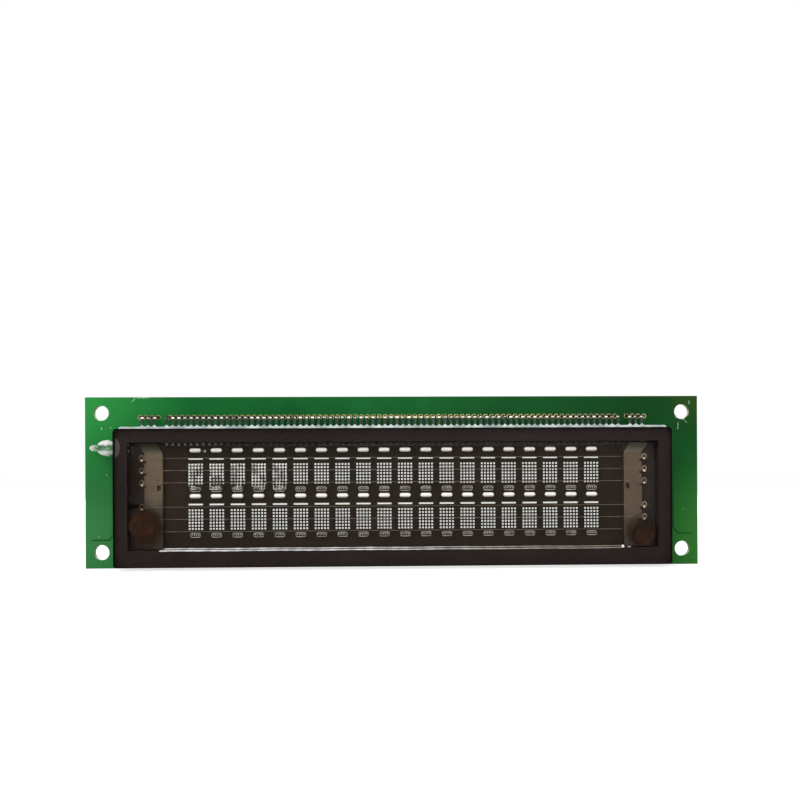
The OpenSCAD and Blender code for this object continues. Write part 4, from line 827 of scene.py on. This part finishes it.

# Grids: etched steel mesh in a thin frame over each character, cemented in white paste at one end and
# welded to a grey foot at the other. The lower edge of each bond is painted grey as painted shade, and
# over the first characters a coarser mesh painted near white stands for the light the mesh catches, as a
# painted highlight.
white_paste = mottled("white_paste", (255, 254, 250), (248, 245, 240), 500, rough=(0.3, 0.42),
                      specular=0.5)
bond_boxes = solids_of("grid_bonds")
bond_underside_shade = (176, 171, 164)
# Painted shade: a grey band along the lower edge of each row of bonds.
for low_edge in sorted({round(low.z, 2) for low, high in bond_boxes}):
    over(white_paste, spot_on(white_paste, (0, 0, low_edge), 0.2, 0.6, (0, 0, 1)), bond_underside_shade)
dress(white_paste, "grid_bonds")
first_bond, second_bond = sorted([low for low, high in bond_boxes if low.z > 0], key=lambda low: low.x)[:2]
speck_share, speck_past, speck_up = 0.64, 0.3, 0.4
speck_reach, speck_height = (0.42, 0.32), -0.4
speck_x = first_bond.x + speck_share * (second_bond.x - first_bond.x) + speck_past
speck_at = (speck_x, bond_boxes[0][1].y, first_bond.z + speck_up)
add_piece("paste_speck", *dome(speck_at, speck_reach, speck_height, sides=10, rings=3), spot_white,
          "white_paste")
grey_paste = mottled("grey_paste", (88, 83, 78), (70, 65, 61), 700, rough=(0.5, 0.65), bump=0.4,
                     specular=dull)
dress(grey_paste, "grid_feet")
grid_steel = mottled("grid_steel", (47, 42, 37), (36, 32, 28), 300, rough=(0.45, 0.6), specular=dull)
dress(grid_steel, "control_grids")

foot_boxes = solids_of("grid_feet")
tooth_w, tooth_h, tooth_t = 0.24, 0.5, 0.03
teeth = 4
tooth_rise = 0.1
rim_line = 0.16
rim_sides = 8
rim_steps = [math.pi * (i / rim_sides - 0.5) for i in range(rim_sides + 1)]
tooth_places = []
foot_rims = Plate(foot_boxes[0][0].y, -tooth_t)
for low, high in foot_boxes:
    bend = (high.z - low.z) / 2
    ends = [(high.x - bend, 1), (low.x + bend, -1)]
    rims = [[(x + side * r * math.cos(a), (low.z + high.z) / 2 + side * r * math.sin(a)) for x, side in ends
             for a in rim_steps] for r in (bend, bend - rim_line)]
    foot_rims.band(*rims)
    for i in range(teeth):
        x = low.x + (high.x - low.x) * (i + 1) / (teeth + 1)
        tooth_places.append((x, low.y, (low.z + high.z) / 2 + tooth_rise))
tooth = Plate(0, -tooth_t)
tooth.fill(box_outline((-tooth_w / 2, -tooth_h / 2), (tooth_w / 2, tooth_h / 2)))
pale_steel = mottled("pale_steel", (186, 178, 170), (142, 134, 127), 700, rough=(0.45, 0.6), specular=dull)
foot_rims.piece("foot_rims", pale_steel, "grid_steel")
repeat_shape("foot_teeth", pattern_shape(tooth.points, tooth.faces), tooth_places, pale_steel,
             smallest=(0.7, 1, 0.7), largest=(1.1, 1, 1.05), turn=0.03, seed=5)

net, given, result = geometry_tree("wire_net", [
    ("Width", FLOAT), ("Height", FLOAT), ("Pitch", FLOAT), ("Wire", FLOAT),
    ("Finish", "NodeSocketMaterial")])
last_wire = 1.01


def net_wires(length, across, along_x):
    """Parallel wires of a net: a line of thin bars, a pitch apart."""
    count = compute(net, "ADD", compute(net, "DIVIDE", given[across], given["Pitch"]), last_wire)
    half = compute(net, "MULTIPLY", given[across], -0.5)
    axis = "Z" if along_x else "X"
    start = add_node(net, "ShaderNodeCombineXYZ", {axis: half}).outputs[0]
    step = add_node(net, "ShaderNodeCombineXYZ", {axis: given["Pitch"]}).outputs[0]
    line = add_node(net, "GeometryNodeMeshLine", {"Count": count, "Start Location": start, "Offset": step})
    bar_axis = "X" if along_x else "Z"
    bar_size = {"X": given["Wire"], "Y": given["Wire"], "Z": given["Wire"]}
    bar_size[bar_axis] = given[length]
    size = add_node(net, "ShaderNodeCombineXYZ", bar_size).outputs[0]
    bar = add_node(net, "GeometryNodeMeshCube", {"Size": size}).outputs[0]
    bars = add_node(net, "GeometryNodeInstanceOnPoints", {"Points": line.outputs[0], "Instance": bar})
    return bars.outputs[0]


both_ways = add_node(net, "GeometryNodeJoinGeometry")
for wires in (net_wires("Width", "Height", True), net_wires("Height", "Width", False)):
    net.links.new(wires, both_ways.inputs[0])
one_net = add_node(net, "GeometryNodeRealizeInstances", {"Geometry": both_ways.outputs[0]})
all_nets = add_node(net, "GeometryNodeInstanceOnPoints",
                    {"Points": given["Geometry"], "Instance": one_net.outputs[0]})
real = add_node(net, "GeometryNodeRealizeInstances", {"Geometry": all_nets.outputs[0]})
dressed = add_node(net, "GeometryNodeSetMaterial",
                   {"Geometry": real.outputs[0], "Material": given["Finish"]})
net.links.new(dressed.outputs[0], result.inputs[0])


def net_values(wide, tall, pitch, wire, finish):
    """The inputs of a net: its counts of spaces, pitch and wire in millimetres, and its finish."""
    return {"Width": wide * pitch * MM, "Height": tall * pitch * MM, "Pitch": pitch * MM, "Wire": wire * MM,
            "Finish": finish}


net_pitch, net_wire = 0.385, 0.014
grid_boxes = solids_of("control_grids")
net_size = grid_boxes[0][1] - grid_boxes[0][0]
wide = 2 * int(net_size.x / net_pitch / 2)
tall = 2 * int(net_size.z / net_pitch / 2) - 1
grow("grid_mesh", net, [(low + high) / 2 for low, high in grid_boxes],
     net_values(wide, tall, net_pitch, net_wire, grid_steel))

lit_count = 5
lit_wide, lit_tall = 4, 8
lit_pitch, lit_wire = 0.77, 0.09
lit_lift = 0.1
dots_low, dots_high = [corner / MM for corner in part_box("upper_dots")]
dots_middle = (dots_low.z + dots_high.z) / 2
# Painted highlight: the near-white patches of this steel stand for the glint on the mesh.
glint_mesh_steel = mottled("glint_painted_grid_steel", (246, 244, 236), (52, 48, 43), 520, (0.46, 0.54), (0.4, 0.55))
upper_grids = [(low, high) for low, high in grid_boxes if low.z < dots_middle < high.z]
upper_grids.sort(key=lambda box: box[0].x)
lit_places = [((low.x + high.x) / 2, low.y - lit_lift, dots_middle - lit_pitch)
              for low, high in upper_grids[:lit_count]]
grow("lit_grid_mesh", net, lit_places, net_values(lit_wide, lit_tall, lit_pitch, lit_wire, glint_mesh_steel))

# Filaments and supports: six oxide-coated tungsten wires drawn over two folded nickel sheets and kept
# tight by leaf springs. The sheets have a tan heat tint, their tabs above the fold are painted lighter as
# painted light, and the springs carry weld spots painted white as painted glints.
filament_wire = mottled("filament_wire", (128, 118, 102), (98, 90, 77), 500, rough=(0.5, 0.6),
                        specular=dull)
dress(filament_wire, "filaments")
fold_height = 7.2
heat_stretch = (1, 0, 0.42)
heat_stain = (66, 52, 40)
for node, reach, middle, plate_tan, tab_light_tone in (
        ("left_support", (2.2, 4.6), (-58.8, 0, 2.8), (88, 73, 53), (72, 66, 54)),
        ("right_support", (3.0, 8.5), (59.0, 0, 1.0), (77, 61, 45), (90, 84, 71))):
    support_metal = mottled(node + "_metal", (52, 46, 38), (44, 38, 31), 260, rough=(0.45, 0.6),
                            metallic=0.15)
    over(support_metal, spot_on(support_metal, middle, *reach, heat_stretch), plate_tan)
    over(support_metal, mask_of(support_metal, mottle, Scale=900.0, Low=0.62, High=0.7), heat_stain)
    below_fold = mask_of(support_metal, lower, Height=fold_height * MM)
    # Painted light: the tab above the fold is lighter.
    over(support_metal, compute(support_metal.node_tree, "SUBTRACT", 1.0, below_fold), tab_light_tone)
    dress(support_metal, node)
spring_metal = mottled("spring_metal", (126, 110, 88), (84, 72, 56), 700, rough=(0.4, 0.55), metallic=0.2)
dress(spring_metal, "filament_springs")
# Painted glints: the weld spots are near white.
weld_glint = mottled("weld_spots", (252, 244, 226), (236, 176, 110), 900, rough=(0.3, 0.4))
weld_reach, weld_height, weld_sink, weld_drop = (0.3, 0.34), -0.1, 0.02, 0.55
weld_shape = pattern_shape(*dome((0, 0, 0), weld_reach, weld_height, sides=8, rings=3))
weld_places = [((low.x + high.x) / 2, low.y + weld_sink, (low.z + high.z) / 2 - weld_drop)
               for low, high in solids_of("filament_springs")]
repeat_shape("weld_spots", weld_shape, weld_places, weld_glint, smallest=(0.6, 1, 0.6),
             largest=(1.3, 1, 1.2), turn=0.4, seed=11)

# Getters: small pressed pans of barium alloy, burnt off after sealing. They are dark brown, and their
# smoke leaves a soft brown film on the inside of the cover round them.
film_rough, film_full = 0.8, 0.6
for node, tone, core in (("left_getter", (112, 72, 46), (92, 54, 32)),
                         ("right_getter", (88, 60, 40), (82, 55, 37))):
    low, high = [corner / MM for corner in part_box(node)]
    middle, radius = (low + high) / 2, (high.x - low.x) / 2
    getter_metal = mottled(node + "_metal", (46, 33, 26), (40, 29, 23), 300, rough=(0.55, 0.7),
                           specular=dull)
    over(getter_metal, spot_on(getter_metal, middle, 0.6 * radius, radius), tone)
    over(getter_metal, spot_on(getter_metal, middle, 0.1 * radius, 0.45 * radius), core)
    dress(getter_metal, node)


def smoke_film(name, centre, reach, film_colour, strength):
    """A soft film on the inside of the cover, thickest in the middle, with an uneven edge."""
    film, tree, shader = new_finish(name)
    shader.inputs["Base Color"].default_value = linear(*film_colour)
    shader.inputs["Roughness"].default_value = film_rough
    shader.inputs["Specular IOR Level"].default_value = dull
    disc = spot_on(film, (centre[0], 0, centre[1]), film_full * reach[0], reach[0],
                   (1, 0, reach[0] / reach[1]))
    uneven = mask_of(film, mottle, Scale=300.0, Low=0.0, High=0.6)
    depth = compute(tree, "MULTIPLY", disc, uneven)
    tree.links.new(compute(tree, "MULTIPLY", depth, strength), shader.inputs["Alpha"])
    sheet = Plate(cover_back + film_t, film_t)
    sheet.fill(box_outline((centre[0] - reach[0], centre[1] - reach[1]),
                           (centre[0] + reach[0], centre[1] + reach[1])))
    sheet.piece(name, film, "getter_metal")


smoke_film("left_getter_film", (-60.6, -11.0), (4.8, 5.7), (52, 35, 25), 0.6)
smoke_film("right_getter_film", (61.0, -12.4), (4.4, 4.4), (46, 34, 27), 0.4)
smoke_film("left_support_film", (-63.2, 1.0), (2.2, 7.0), (34, 25, 20), 0.25)

# Cover glass: clear float glass over the chamber, sealed to the walls all round. It mirrors a little of
# the room, most at a glance along it, and its sawn sides are frosted.
mirror_ior = 1.5
mirror_least = 0.045
mirror_light = (126, 108, 102)
mirror_dark = (88, 76, 78)
frost = (46, 44, 43)
polished, ground = 0.02, 0.6
cover, tree, shader = new_finish("cover_glass")
shader.inputs["Metallic"].default_value = 1.0
# Painted reflection: the mirror's tone is patched brown and grey, like a room seen in it.
room = mask_of(cover, mottle, Scale=22.0, Low=0.4, High=0.6)
tones = layered(tree, room, linear(*mirror_dark), linear(*mirror_light))
tree.links.new(tones, shader.inputs["Base Color"])
sides = mask_of(cover, sideways)
over(cover, sides, frost)
gloss = add_node(tree, "ShaderNodeMapRange", {"Value": sides, "To Min": polished, "To Max": ground})
tree.links.new(gloss.outputs[0], shader.inputs["Roughness"])
fresnel = add_node(tree, "ShaderNodeFresnel", {"IOR": mirror_ior}).outputs[0]
sheen = add_node(tree, "ShaderNodeMapRange", {"Value": fresnel, "From Min": mirror_least, "From Max": 1.0})
behind = add_node(tree, "ShaderNodeNewGeometry").outputs["Backfacing"]
front = compute(tree, "SUBTRACT", 1.0, behind)
share = compute(tree, "MULTIPLY", sheen.outputs[0], front)
tree.links.new(compute(tree, "MAXIMUM", share, sides), shader.inputs["Alpha"])
dress(cover, "cover_glass")

# Exhaust tip: the clear glass tube through which the display was pumped out, melted shut and drawn off.
# A thin skin over it is painted white along its sides and nub, as painted highlights. A collar of grey
# frit seals it into the side wall.
tip_tint = (0.94, 0.96, 0.95, 1.0)
tip_ior = 1.5
tip_clear, tip_hazy = 0.02, 0.12
tip_glass, tree, shader = new_finish("tip_glass")
shader.inputs["Base Color"].default_value = tip_tint
shader.inputs["Transmission Weight"].default_value = 1.0
shader.inputs["IOR"].default_value = tip_ior
patches = mask_of(tip_glass, mottle, Scale=700.0, Low=0.45, High=0.7)
haze = add_node(tree, "ShaderNodeMapRange", {"Value": patches, "To Min": tip_clear, "To Max": tip_hazy})
tree.links.new(haze.outputs[0], shader.inputs["Roughness"])
dress(tip_glass, "exhaust_tip")
tip_low, tip_high = [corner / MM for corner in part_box("exhaust_tip")]
tube_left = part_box("cover_glass")[0].x / MM
tip_y, tip_z = (tip_low.y + tip_high.y) / 2, (tip_low.z + tip_high.z) / 2
clear_half, highlight_half, nub_reach = 0.35, 1.15, 2.0
highlight_most = 0.9
skin_t = 0.01
# Painted highlights: the skin is white along the upper and lower sides and on the nub, and clear along the
# middle.
tip_highlight = mottled("tip_highlight", (250, 250, 248), (240, 241, 239), 700, rough=(0.15, 0.3))
tree = tip_highlight.node_tree
middle = spot_on(tip_highlight, (0, 0, tip_z), clear_half, highlight_half, (0, 0, 1))
nub = spot_on(tip_highlight, (tip_low.x, 0, tip_z), 0, nub_reach)
highlight_bands = compute(tree, "MAXIMUM", compute(tree, "SUBTRACT", 1.0, middle), nub)
tree.links.new(compute(tree, "MULTIPLY", highlight_bands, highlight_most), shader_of(tip_highlight).inputs["Alpha"])
skin = bmesh.new()
skin.from_mesh(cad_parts["exhaust_tip"].data)
bmesh.ops.remove_doubles(skin, verts=skin.verts, dist=skin_t * MM / 10)
skin.normal_update()
for point in skin.verts:
    point.co += point.normal * skin_t * MM
skin_mesh = bpy.data.meshes.new("tip_skin")
skin.to_mesh(skin_mesh)
skin.free()
skin_mesh.materials.append(tip_highlight)
fix_piece(bpy.data.objects.new("tip_skin", skin_mesh))
collar_reach, collar_half, collar_tall = 0.9, 1.45, 2.35
collar_points, collar_faces = dome((0, 0, 0), (collar_half, collar_tall), -collar_reach, sides=20)
collar_points = [(tube_left + y, tip_y + x, tip_z + z) for x, y, z in collar_points]
collar_grey = mottled("frit_collar", (126, 124, 118), (92, 90, 86), 700, rough=(0.4, 0.55), bump=0.3)
add_piece("frit_collar", collar_points, [face[::-1] for face in collar_faces], collar_grey, "dark_frit")
collar_mark = Plate(cover_back, -film_t)
mark_inset, mark_wide, mark_tall, mark_sides = 0.2, 1.1, 2.3, 12
mark_steps = [math.pi * (i / mark_sides - 0.5) for i in range(mark_sides + 1)]
collar_mark.fill([(tube_left + mark_inset + mark_wide * math.cos(a), tip_z + mark_tall * math.sin(a))
                  for a in mark_steps])
mark_grey = mottled("collar_mark", (90, 83, 83), (76, 70, 70), 700, rough=(0.5, 0.65), specular=dull)
collar_mark.piece("collar_mark", mark_grey, "dark_frit")

# Header: a low two-row connector body of dark brown glass-filled plastic, with tarnished contacts sunk in
# it and soldered on the front of the board, behind the tube. Pale ribs show in the gaps between its cells.
header_plastic = mottled("header_plastic", (44, 27, 25), (30, 18, 17), 900, rough=(0.5, 0.65), bump=0.4,
                         specular=dull)
dress(header_plastic, "header_body")
header_gilt = mottled("header_contact", (96, 78, 60), (62, 48, 38), 900, rough=(0.4, 0.55), metallic=0.5)
dress(header_gilt, "header_contacts")
header_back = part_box("header_body")[1].y / MM
low, high = flat_box(solids_of("header_body"))
header_cells = 10
rib_half, rib_sink = 0.4, 0.5
ribs = Plate(back_face, header_back - rib_sink - back_face, upturned=True)
for i in range(1, header_cells):
    rib_x, rib_up = low[0] + i * (high[0] - low[0]) / header_cells, (low[1] + high[1]) / 2
    ribs.fill([(rib_x - rib_half, rib_up), (rib_x, rib_up - rib_half), (rib_x + rib_half, rib_up),
               (rib_x, rib_up + rib_half)])
ribs.piece("header_ribs", ink, "header_plastic")

# Chip packages: the controller, drivers and logic, in black moulded epoxy with a fine matt grain. Their
# tinned gull-wing leads are soldered to the lands.
package_plastic = mottled("package_plastic", (48, 47, 48), (44, 43, 44), 900, rough=(0.5, 0.65), bump=0.5,
                          bump_scale=6000, specular=dull)
dress(package_plastic, "controller_body", "left_driver_body", "right_driver_body", "buffer_body",
      "gate_bodies")
tinned_leads = mottled("tinned_leads", (192, 189, 178), (134, 133, 124), 1500, rough=(0.25, 0.4),
                       metallic=0.75)
dress(tinned_leads, "controller_leads", "left_driver_leads", "right_driver_leads", "buffer_leads",
      "gate_leads", "transistor_leads", "reset_leads", "capacitor_tabs", "regulator_tab",
      "transformer_pins", "tantalum_terminals", "chip_end_caps")

# Electrolytic capacitors: drawn aluminium cans on dark moulded bases, soldered by the two tabs under them.
# A dark printed segment on each top marks the minus side.
can_metal = mottled("can_aluminium", (206, 204, 210), (176, 174, 182), 420, rough=(0.28, 0.42),
                    metallic=0.55)
dress(can_metal, "capacitor_cans")
base_plastic = mottled("base_plastic", (78, 70, 72), (58, 52, 54), 700, rough=(0.5, 0.6), bump=0.3)
dress(base_plastic, "capacitor_bases")
segment_ink = mottled("segment_ink", (62, 40, 36), (46, 28, 26), 700, rough=(0.5, 0.6))
segment_rise, segment_r, chord, segment_sides = 0.02, 3.55, 1.75, 16
can_boxes = solids_of("capacitor_cans")
segments = Plate(can_boxes[0][1].y, segment_rise)
for low, high in can_boxes:
    middle_x, middle_z = (low.x + high.x) / 2, (low.z + high.z) / 2
    open_angle = math.acos(chord / segment_r)
    arc = [math.pi / 2 + open_angle * (2 * i / segment_sides - 1) for i in range(segment_sides + 1)]
    segments.fill([(middle_x + segment_r * math.cos(a), middle_z + segment_r * math.sin(a)) for a in arc])
segments.piece("can_segments", segment_ink, "base_plastic")

# Regulator: a power package of black epoxy, moulded round a tinned copper tab. The tab is soldered flat to
# the board, which takes its heat.
regulator_plastic = mottled("regulator_plastic", (62, 48, 47), (46, 34, 34), 450, rough=(0.45, 0.6),
                            bump=0.5, bump_scale=6000)
dress(regulator_plastic, "regulator_body")

# Transformer: two ferrite E halves round a dark bobbin with an enamelled copper winding. Fine wires run
# from the winding to the pins, and a dot of paint marks the first pin.
ferrite = mottled("ferrite", (98, 93, 95), (72, 68, 70), 500, rough=(0.5, 0.65), bump=0.5)
dress(ferrite, "transformer_core")
bobbin_plastic = mottled("bobbin_plastic", (44, 28, 25), (28, 17, 15), 600, rough=(0.4, 0.55), bump=0.2)
dress(bobbin_plastic, "transformer_bobbin")
enamelled = mottled("enamelled_copper", (190, 112, 56), (140, 74, 34), 900, rough=(0.25, 0.35),
                    metallic=0.6)
dress(enamelled, "transformer_winding")
wire_r, wire_sides = 0.13, 6
nearly_along_x = 0.9


def sweep(route, radius, sides):
    """A round wire along a route: points and faces of a closed tube."""
    points, faces = [], []
    for i, point in enumerate(route):
        ahead = (Vector(route[min(i + 1, len(route) - 1)]) - Vector(route[max(i - 1, 0)])).normalized()
        guide = Vector((1, 0, 0)) if abs(ahead.x) < nearly_along_x else Vector((0, 1, 0))
        side = ahead.cross(guide).normalized()
        rise = ahead.cross(side)
        for k in range(sides):
            a = 2 * math.pi * k / sides
            points.append(tuple(Vector(point) + radius * (side * math.cos(a) + rise * math.sin(a))))
    for i in range(len(route) - 1):
        for k in range(sides):
            m = (k + 1) % sides
            faces.append((i * sides + k, i * sides + m, (i + 1) * sides + m, (i + 1) * sides + k))
    faces.append(tuple(range(sides))[::-1])
    faces.append(tuple((len(route) - 1) * sides + k for k in range(sides)))
    return points, faces


wind_low, wind_high = [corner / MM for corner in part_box("transformer_winding")]
pin_lifts, pin_steps = (-0.1, 0.5), (0.5, 0.35)
core_shares, core_lifts, core_steps = (0.25, 0.5), (0.2, 1.2), (0.35, 0.1)
wires = []
for low, high in solids_of("transformer_pins"):
    pin_x, core_x = (low.x + high.x) / 2, (wind_low.x + wind_high.x) / 2
    outer = high.z > (wind_low.z + wind_high.z) / 2
    pin_z, edge_z = (low.z, wind_high.z) if outer else (high.z, wind_low.z)
    away = 1 if outer else -1
    route = [(pin_x, high.y + lift, pin_z + away * step) for lift, step in zip(pin_lifts, pin_steps)]
    route += [(pin_x + share * (core_x - pin_x), wind_low.y + lift, edge_z + away * step)
              for share, lift, step in zip(core_shares, core_lifts, core_steps)]
    wires.append(sweep(route, wire_r, wire_sides))
bright_wire = mottled("bright_wire", (240, 178, 104), (204, 128, 62), 900, rough=(0.25, 0.35), metallic=0.4)
add_piece("winding_wires", *joined(wires), bright_wire, "enamelled_copper")
core_low, core_high = [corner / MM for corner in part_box("transformer_core")]
paint_t, paint_inset, paint_r = 0.02, (1.3, 1.2), 0.45
paint_dot = Plate(core_high.y, paint_t)
paint_dot.disc((core_high.x - paint_inset[0], core_low.z + paint_inset[1]), paint_r)
paint_dot.piece("core_dot", ink, "ferrite")

# Small packages: transistors, diodes, the reset chip and the tantalum capacitor, moulded in dark epoxy.
# They are soldered to the lands by their short leads or terminals.
small_plastic = mottled("small_package", (54, 50, 50), (38, 35, 35), 600, rough=(0.45, 0.6), bump=0.4,
                        bump_scale=6000)
dress(small_plastic, "transistor_bodies", "reset_body", "tantalum_body")

# Chip parts: sintered ceramic capacitors, black film resistors and arrays with tinned ends, and the
# resonator that clocks the controller.
chip_ceramic = mottled("chip_ceramic", (196, 166, 126), (168, 138, 100), 900, rough=(0.4, 0.55), bump=0.2)
dress(chip_ceramic, "chip_capacitors")
resistor_film = mottled("resistor_film", (40, 40, 42), (26, 26, 28), 900, rough=(0.3, 0.45))
dress(resistor_film, "chip_resistors", "resistor_arrays")
resonator_ceramic = mottled("resonator_ceramic", (216, 192, 140), (186, 160, 108), 900, rough=(0.4, 0.55))
dress(resonator_ceramic, "resonator")

# Amber tape: a piece of clear amber polyimide film with a thin adhesive, stuck by hand over the resonator
# and its neighbours, where it lies a little creased.
film_amber = (214, 150, 20)
film_through = (252, 240, 184)
film_haze = 0.035
crease_strength, crease_depth = 0.5, 0.2
amber = mottled("amber_film", film_amber, (196, 132, 14), 300, rough=(0.14, 0.24))
tree = amber.node_tree
shader = shader_of(amber)
creases = mask_of(amber, mottle, Scale=300.0, Low=0.2, High=0.8)
relief = add_node(tree, "ShaderNodeBump",
                  {"Strength": crease_strength, "Distance": crease_depth * MM, "Height": creases})
tree.links.new(relief.outputs[0], shader.inputs["Normal"])
through = add_node(tree, "ShaderNodeBsdfTransparent", {"Color": linear(*film_through)})
mixed = add_node(tree, "ShaderNodeMixShader", {0: film_haze, 1: through.outputs[0], 2: shader.outputs[0]})
tree.links.new(mixed.outputs[0], tree.nodes["Material Output"].inputs["Surface"])
dress(amber, "amber_tape")

# Paper label: a blank sticker of white coated paper, cut square and pressed on the board beside the
# header by its own adhesive.
label_paper = mottled("label_paper", (240, 240, 237), (224, 224, 220), 130, rough=(0.6, 0.75), bump=0.2)
dress(label_paper, "paper_label")

# Stage: a pale floor under the module, soft studio light from the upper left, and a white room that only
# the camera, mirrors and glass see.
floor_z = cad_box[0][2]
floor_half = 6.0
floor_glow = 0.76
floor_grey, floor_rough = 0.6, 0.9
room_light = 0.38
white = (1.0, 1.0, 1.0, 1.0)
lamp_side = 0.3


def white_flag(tree):
    """One for the rays that should see a white room: straight, mirrored or through glass."""
    path = add_node(tree, "ShaderNodeLightPath").outputs
    first = compute(tree, "MAXIMUM", path["Is Camera Ray"], path["Is Glossy Ray"])
    return compute(tree, "MAXIMUM", first, path["Is Transmission Ray"])


floor_paint, tree, shader = new_finish("floor_paint")
shader.inputs["Base Color"].default_value = (floor_grey, floor_grey, floor_grey, 1.0)
shader.inputs["Roughness"].default_value = floor_rough
shader.inputs["Specular IOR Level"].default_value = 0.0
lit = compute(tree, "MULTIPLY", white_flag(tree), floor_glow)
glow = add_node(tree, "ShaderNodeEmission", {"Color": white, "Strength": lit})
both = add_node(tree, "ShaderNodeAddShader", {0: shader.outputs[0], 1: glow.outputs[0]})
tree.links.new(both.outputs[0], tree.nodes["Material Output"].inputs["Surface"])
floor_mesh = bpy.data.meshes.new("floor")
floor_corners = box_outline((-floor_half, -floor_half), (floor_half, floor_half))
floor_mesh.from_pydata([(x, y, floor_z) for x, y in floor_corners], [], [(0, 1, 2, 3)])
floor_mesh.materials.append(floor_paint)
floor = bpy.data.objects.new("floor", floor_mesh)
bpy.context.scene.collection.objects.link(floor)

world = bpy.data.worlds.new("studio")
world.use_nodes = True
bpy.context.scene.world = world
tree = world.node_tree
background = tree.nodes["Background"]
background.inputs["Color"].default_value = white
level = add_node(tree, "ShaderNodeMapRange",
                 {"Value": white_flag(tree), "To Min": room_light, "To Max": 1.0})
tree.links.new(level.outputs[0], background.inputs["Strength"])


def lamp(name, place, power):
    """A square soft light that looks at the object."""
    light = bpy.data.lights.new(name, "AREA")
    light.energy = power
    light.size = lamp_side
    holder = bpy.data.objects.new(name, light)
    holder.location = place
    holder.rotation_euler = (-Vector(place)).to_track_quat("-Z", "Y").to_euler()
    bpy.context.scene.collection.objects.link(holder)


lamp("key", (-0.26, -0.52, 0.46), power=2.0)
lamp("fill", (0.05, -0.7, 0.16), power=1.8)
lamp("back_key", (0.26, 0.52, 0.46), power=2.5)
lamp("back_fill", (-0.12, 0.7, 0.16), power=1.6)

# Camera: where the photograph was taken from, straight in front of the glass and turned a little right.
camera_place = (0.0016354, -0.251014, 0.002081)
camera_yaw = 0.0329
camera_roll = 0.005
camera_lens, sensor_width = 44.53, 36.0
nearest_seen = 0.01
middle_px = (433.4, 473.0)
picture_px = 800
camera = bpy.data.cameras.new("camera")
camera.sensor_width = sensor_width
camera.lens = camera_lens
camera.shift_x = (picture_px / 2 - middle_px[0]) / picture_px
camera.shift_y = (middle_px[1] - picture_px / 2) / picture_px
camera.clip_start = nearest_seen
holder = bpy.data.objects.new("camera", camera)
holder.location = camera_place
holder.rotation_euler = (math.pi / 2, camera_roll, -camera_yaw)
bpy.context.scene.collection.objects.link(holder)
bpy.context.scene.camera = holder
bpy.context.scene.view_settings.view_transform = "Standard"
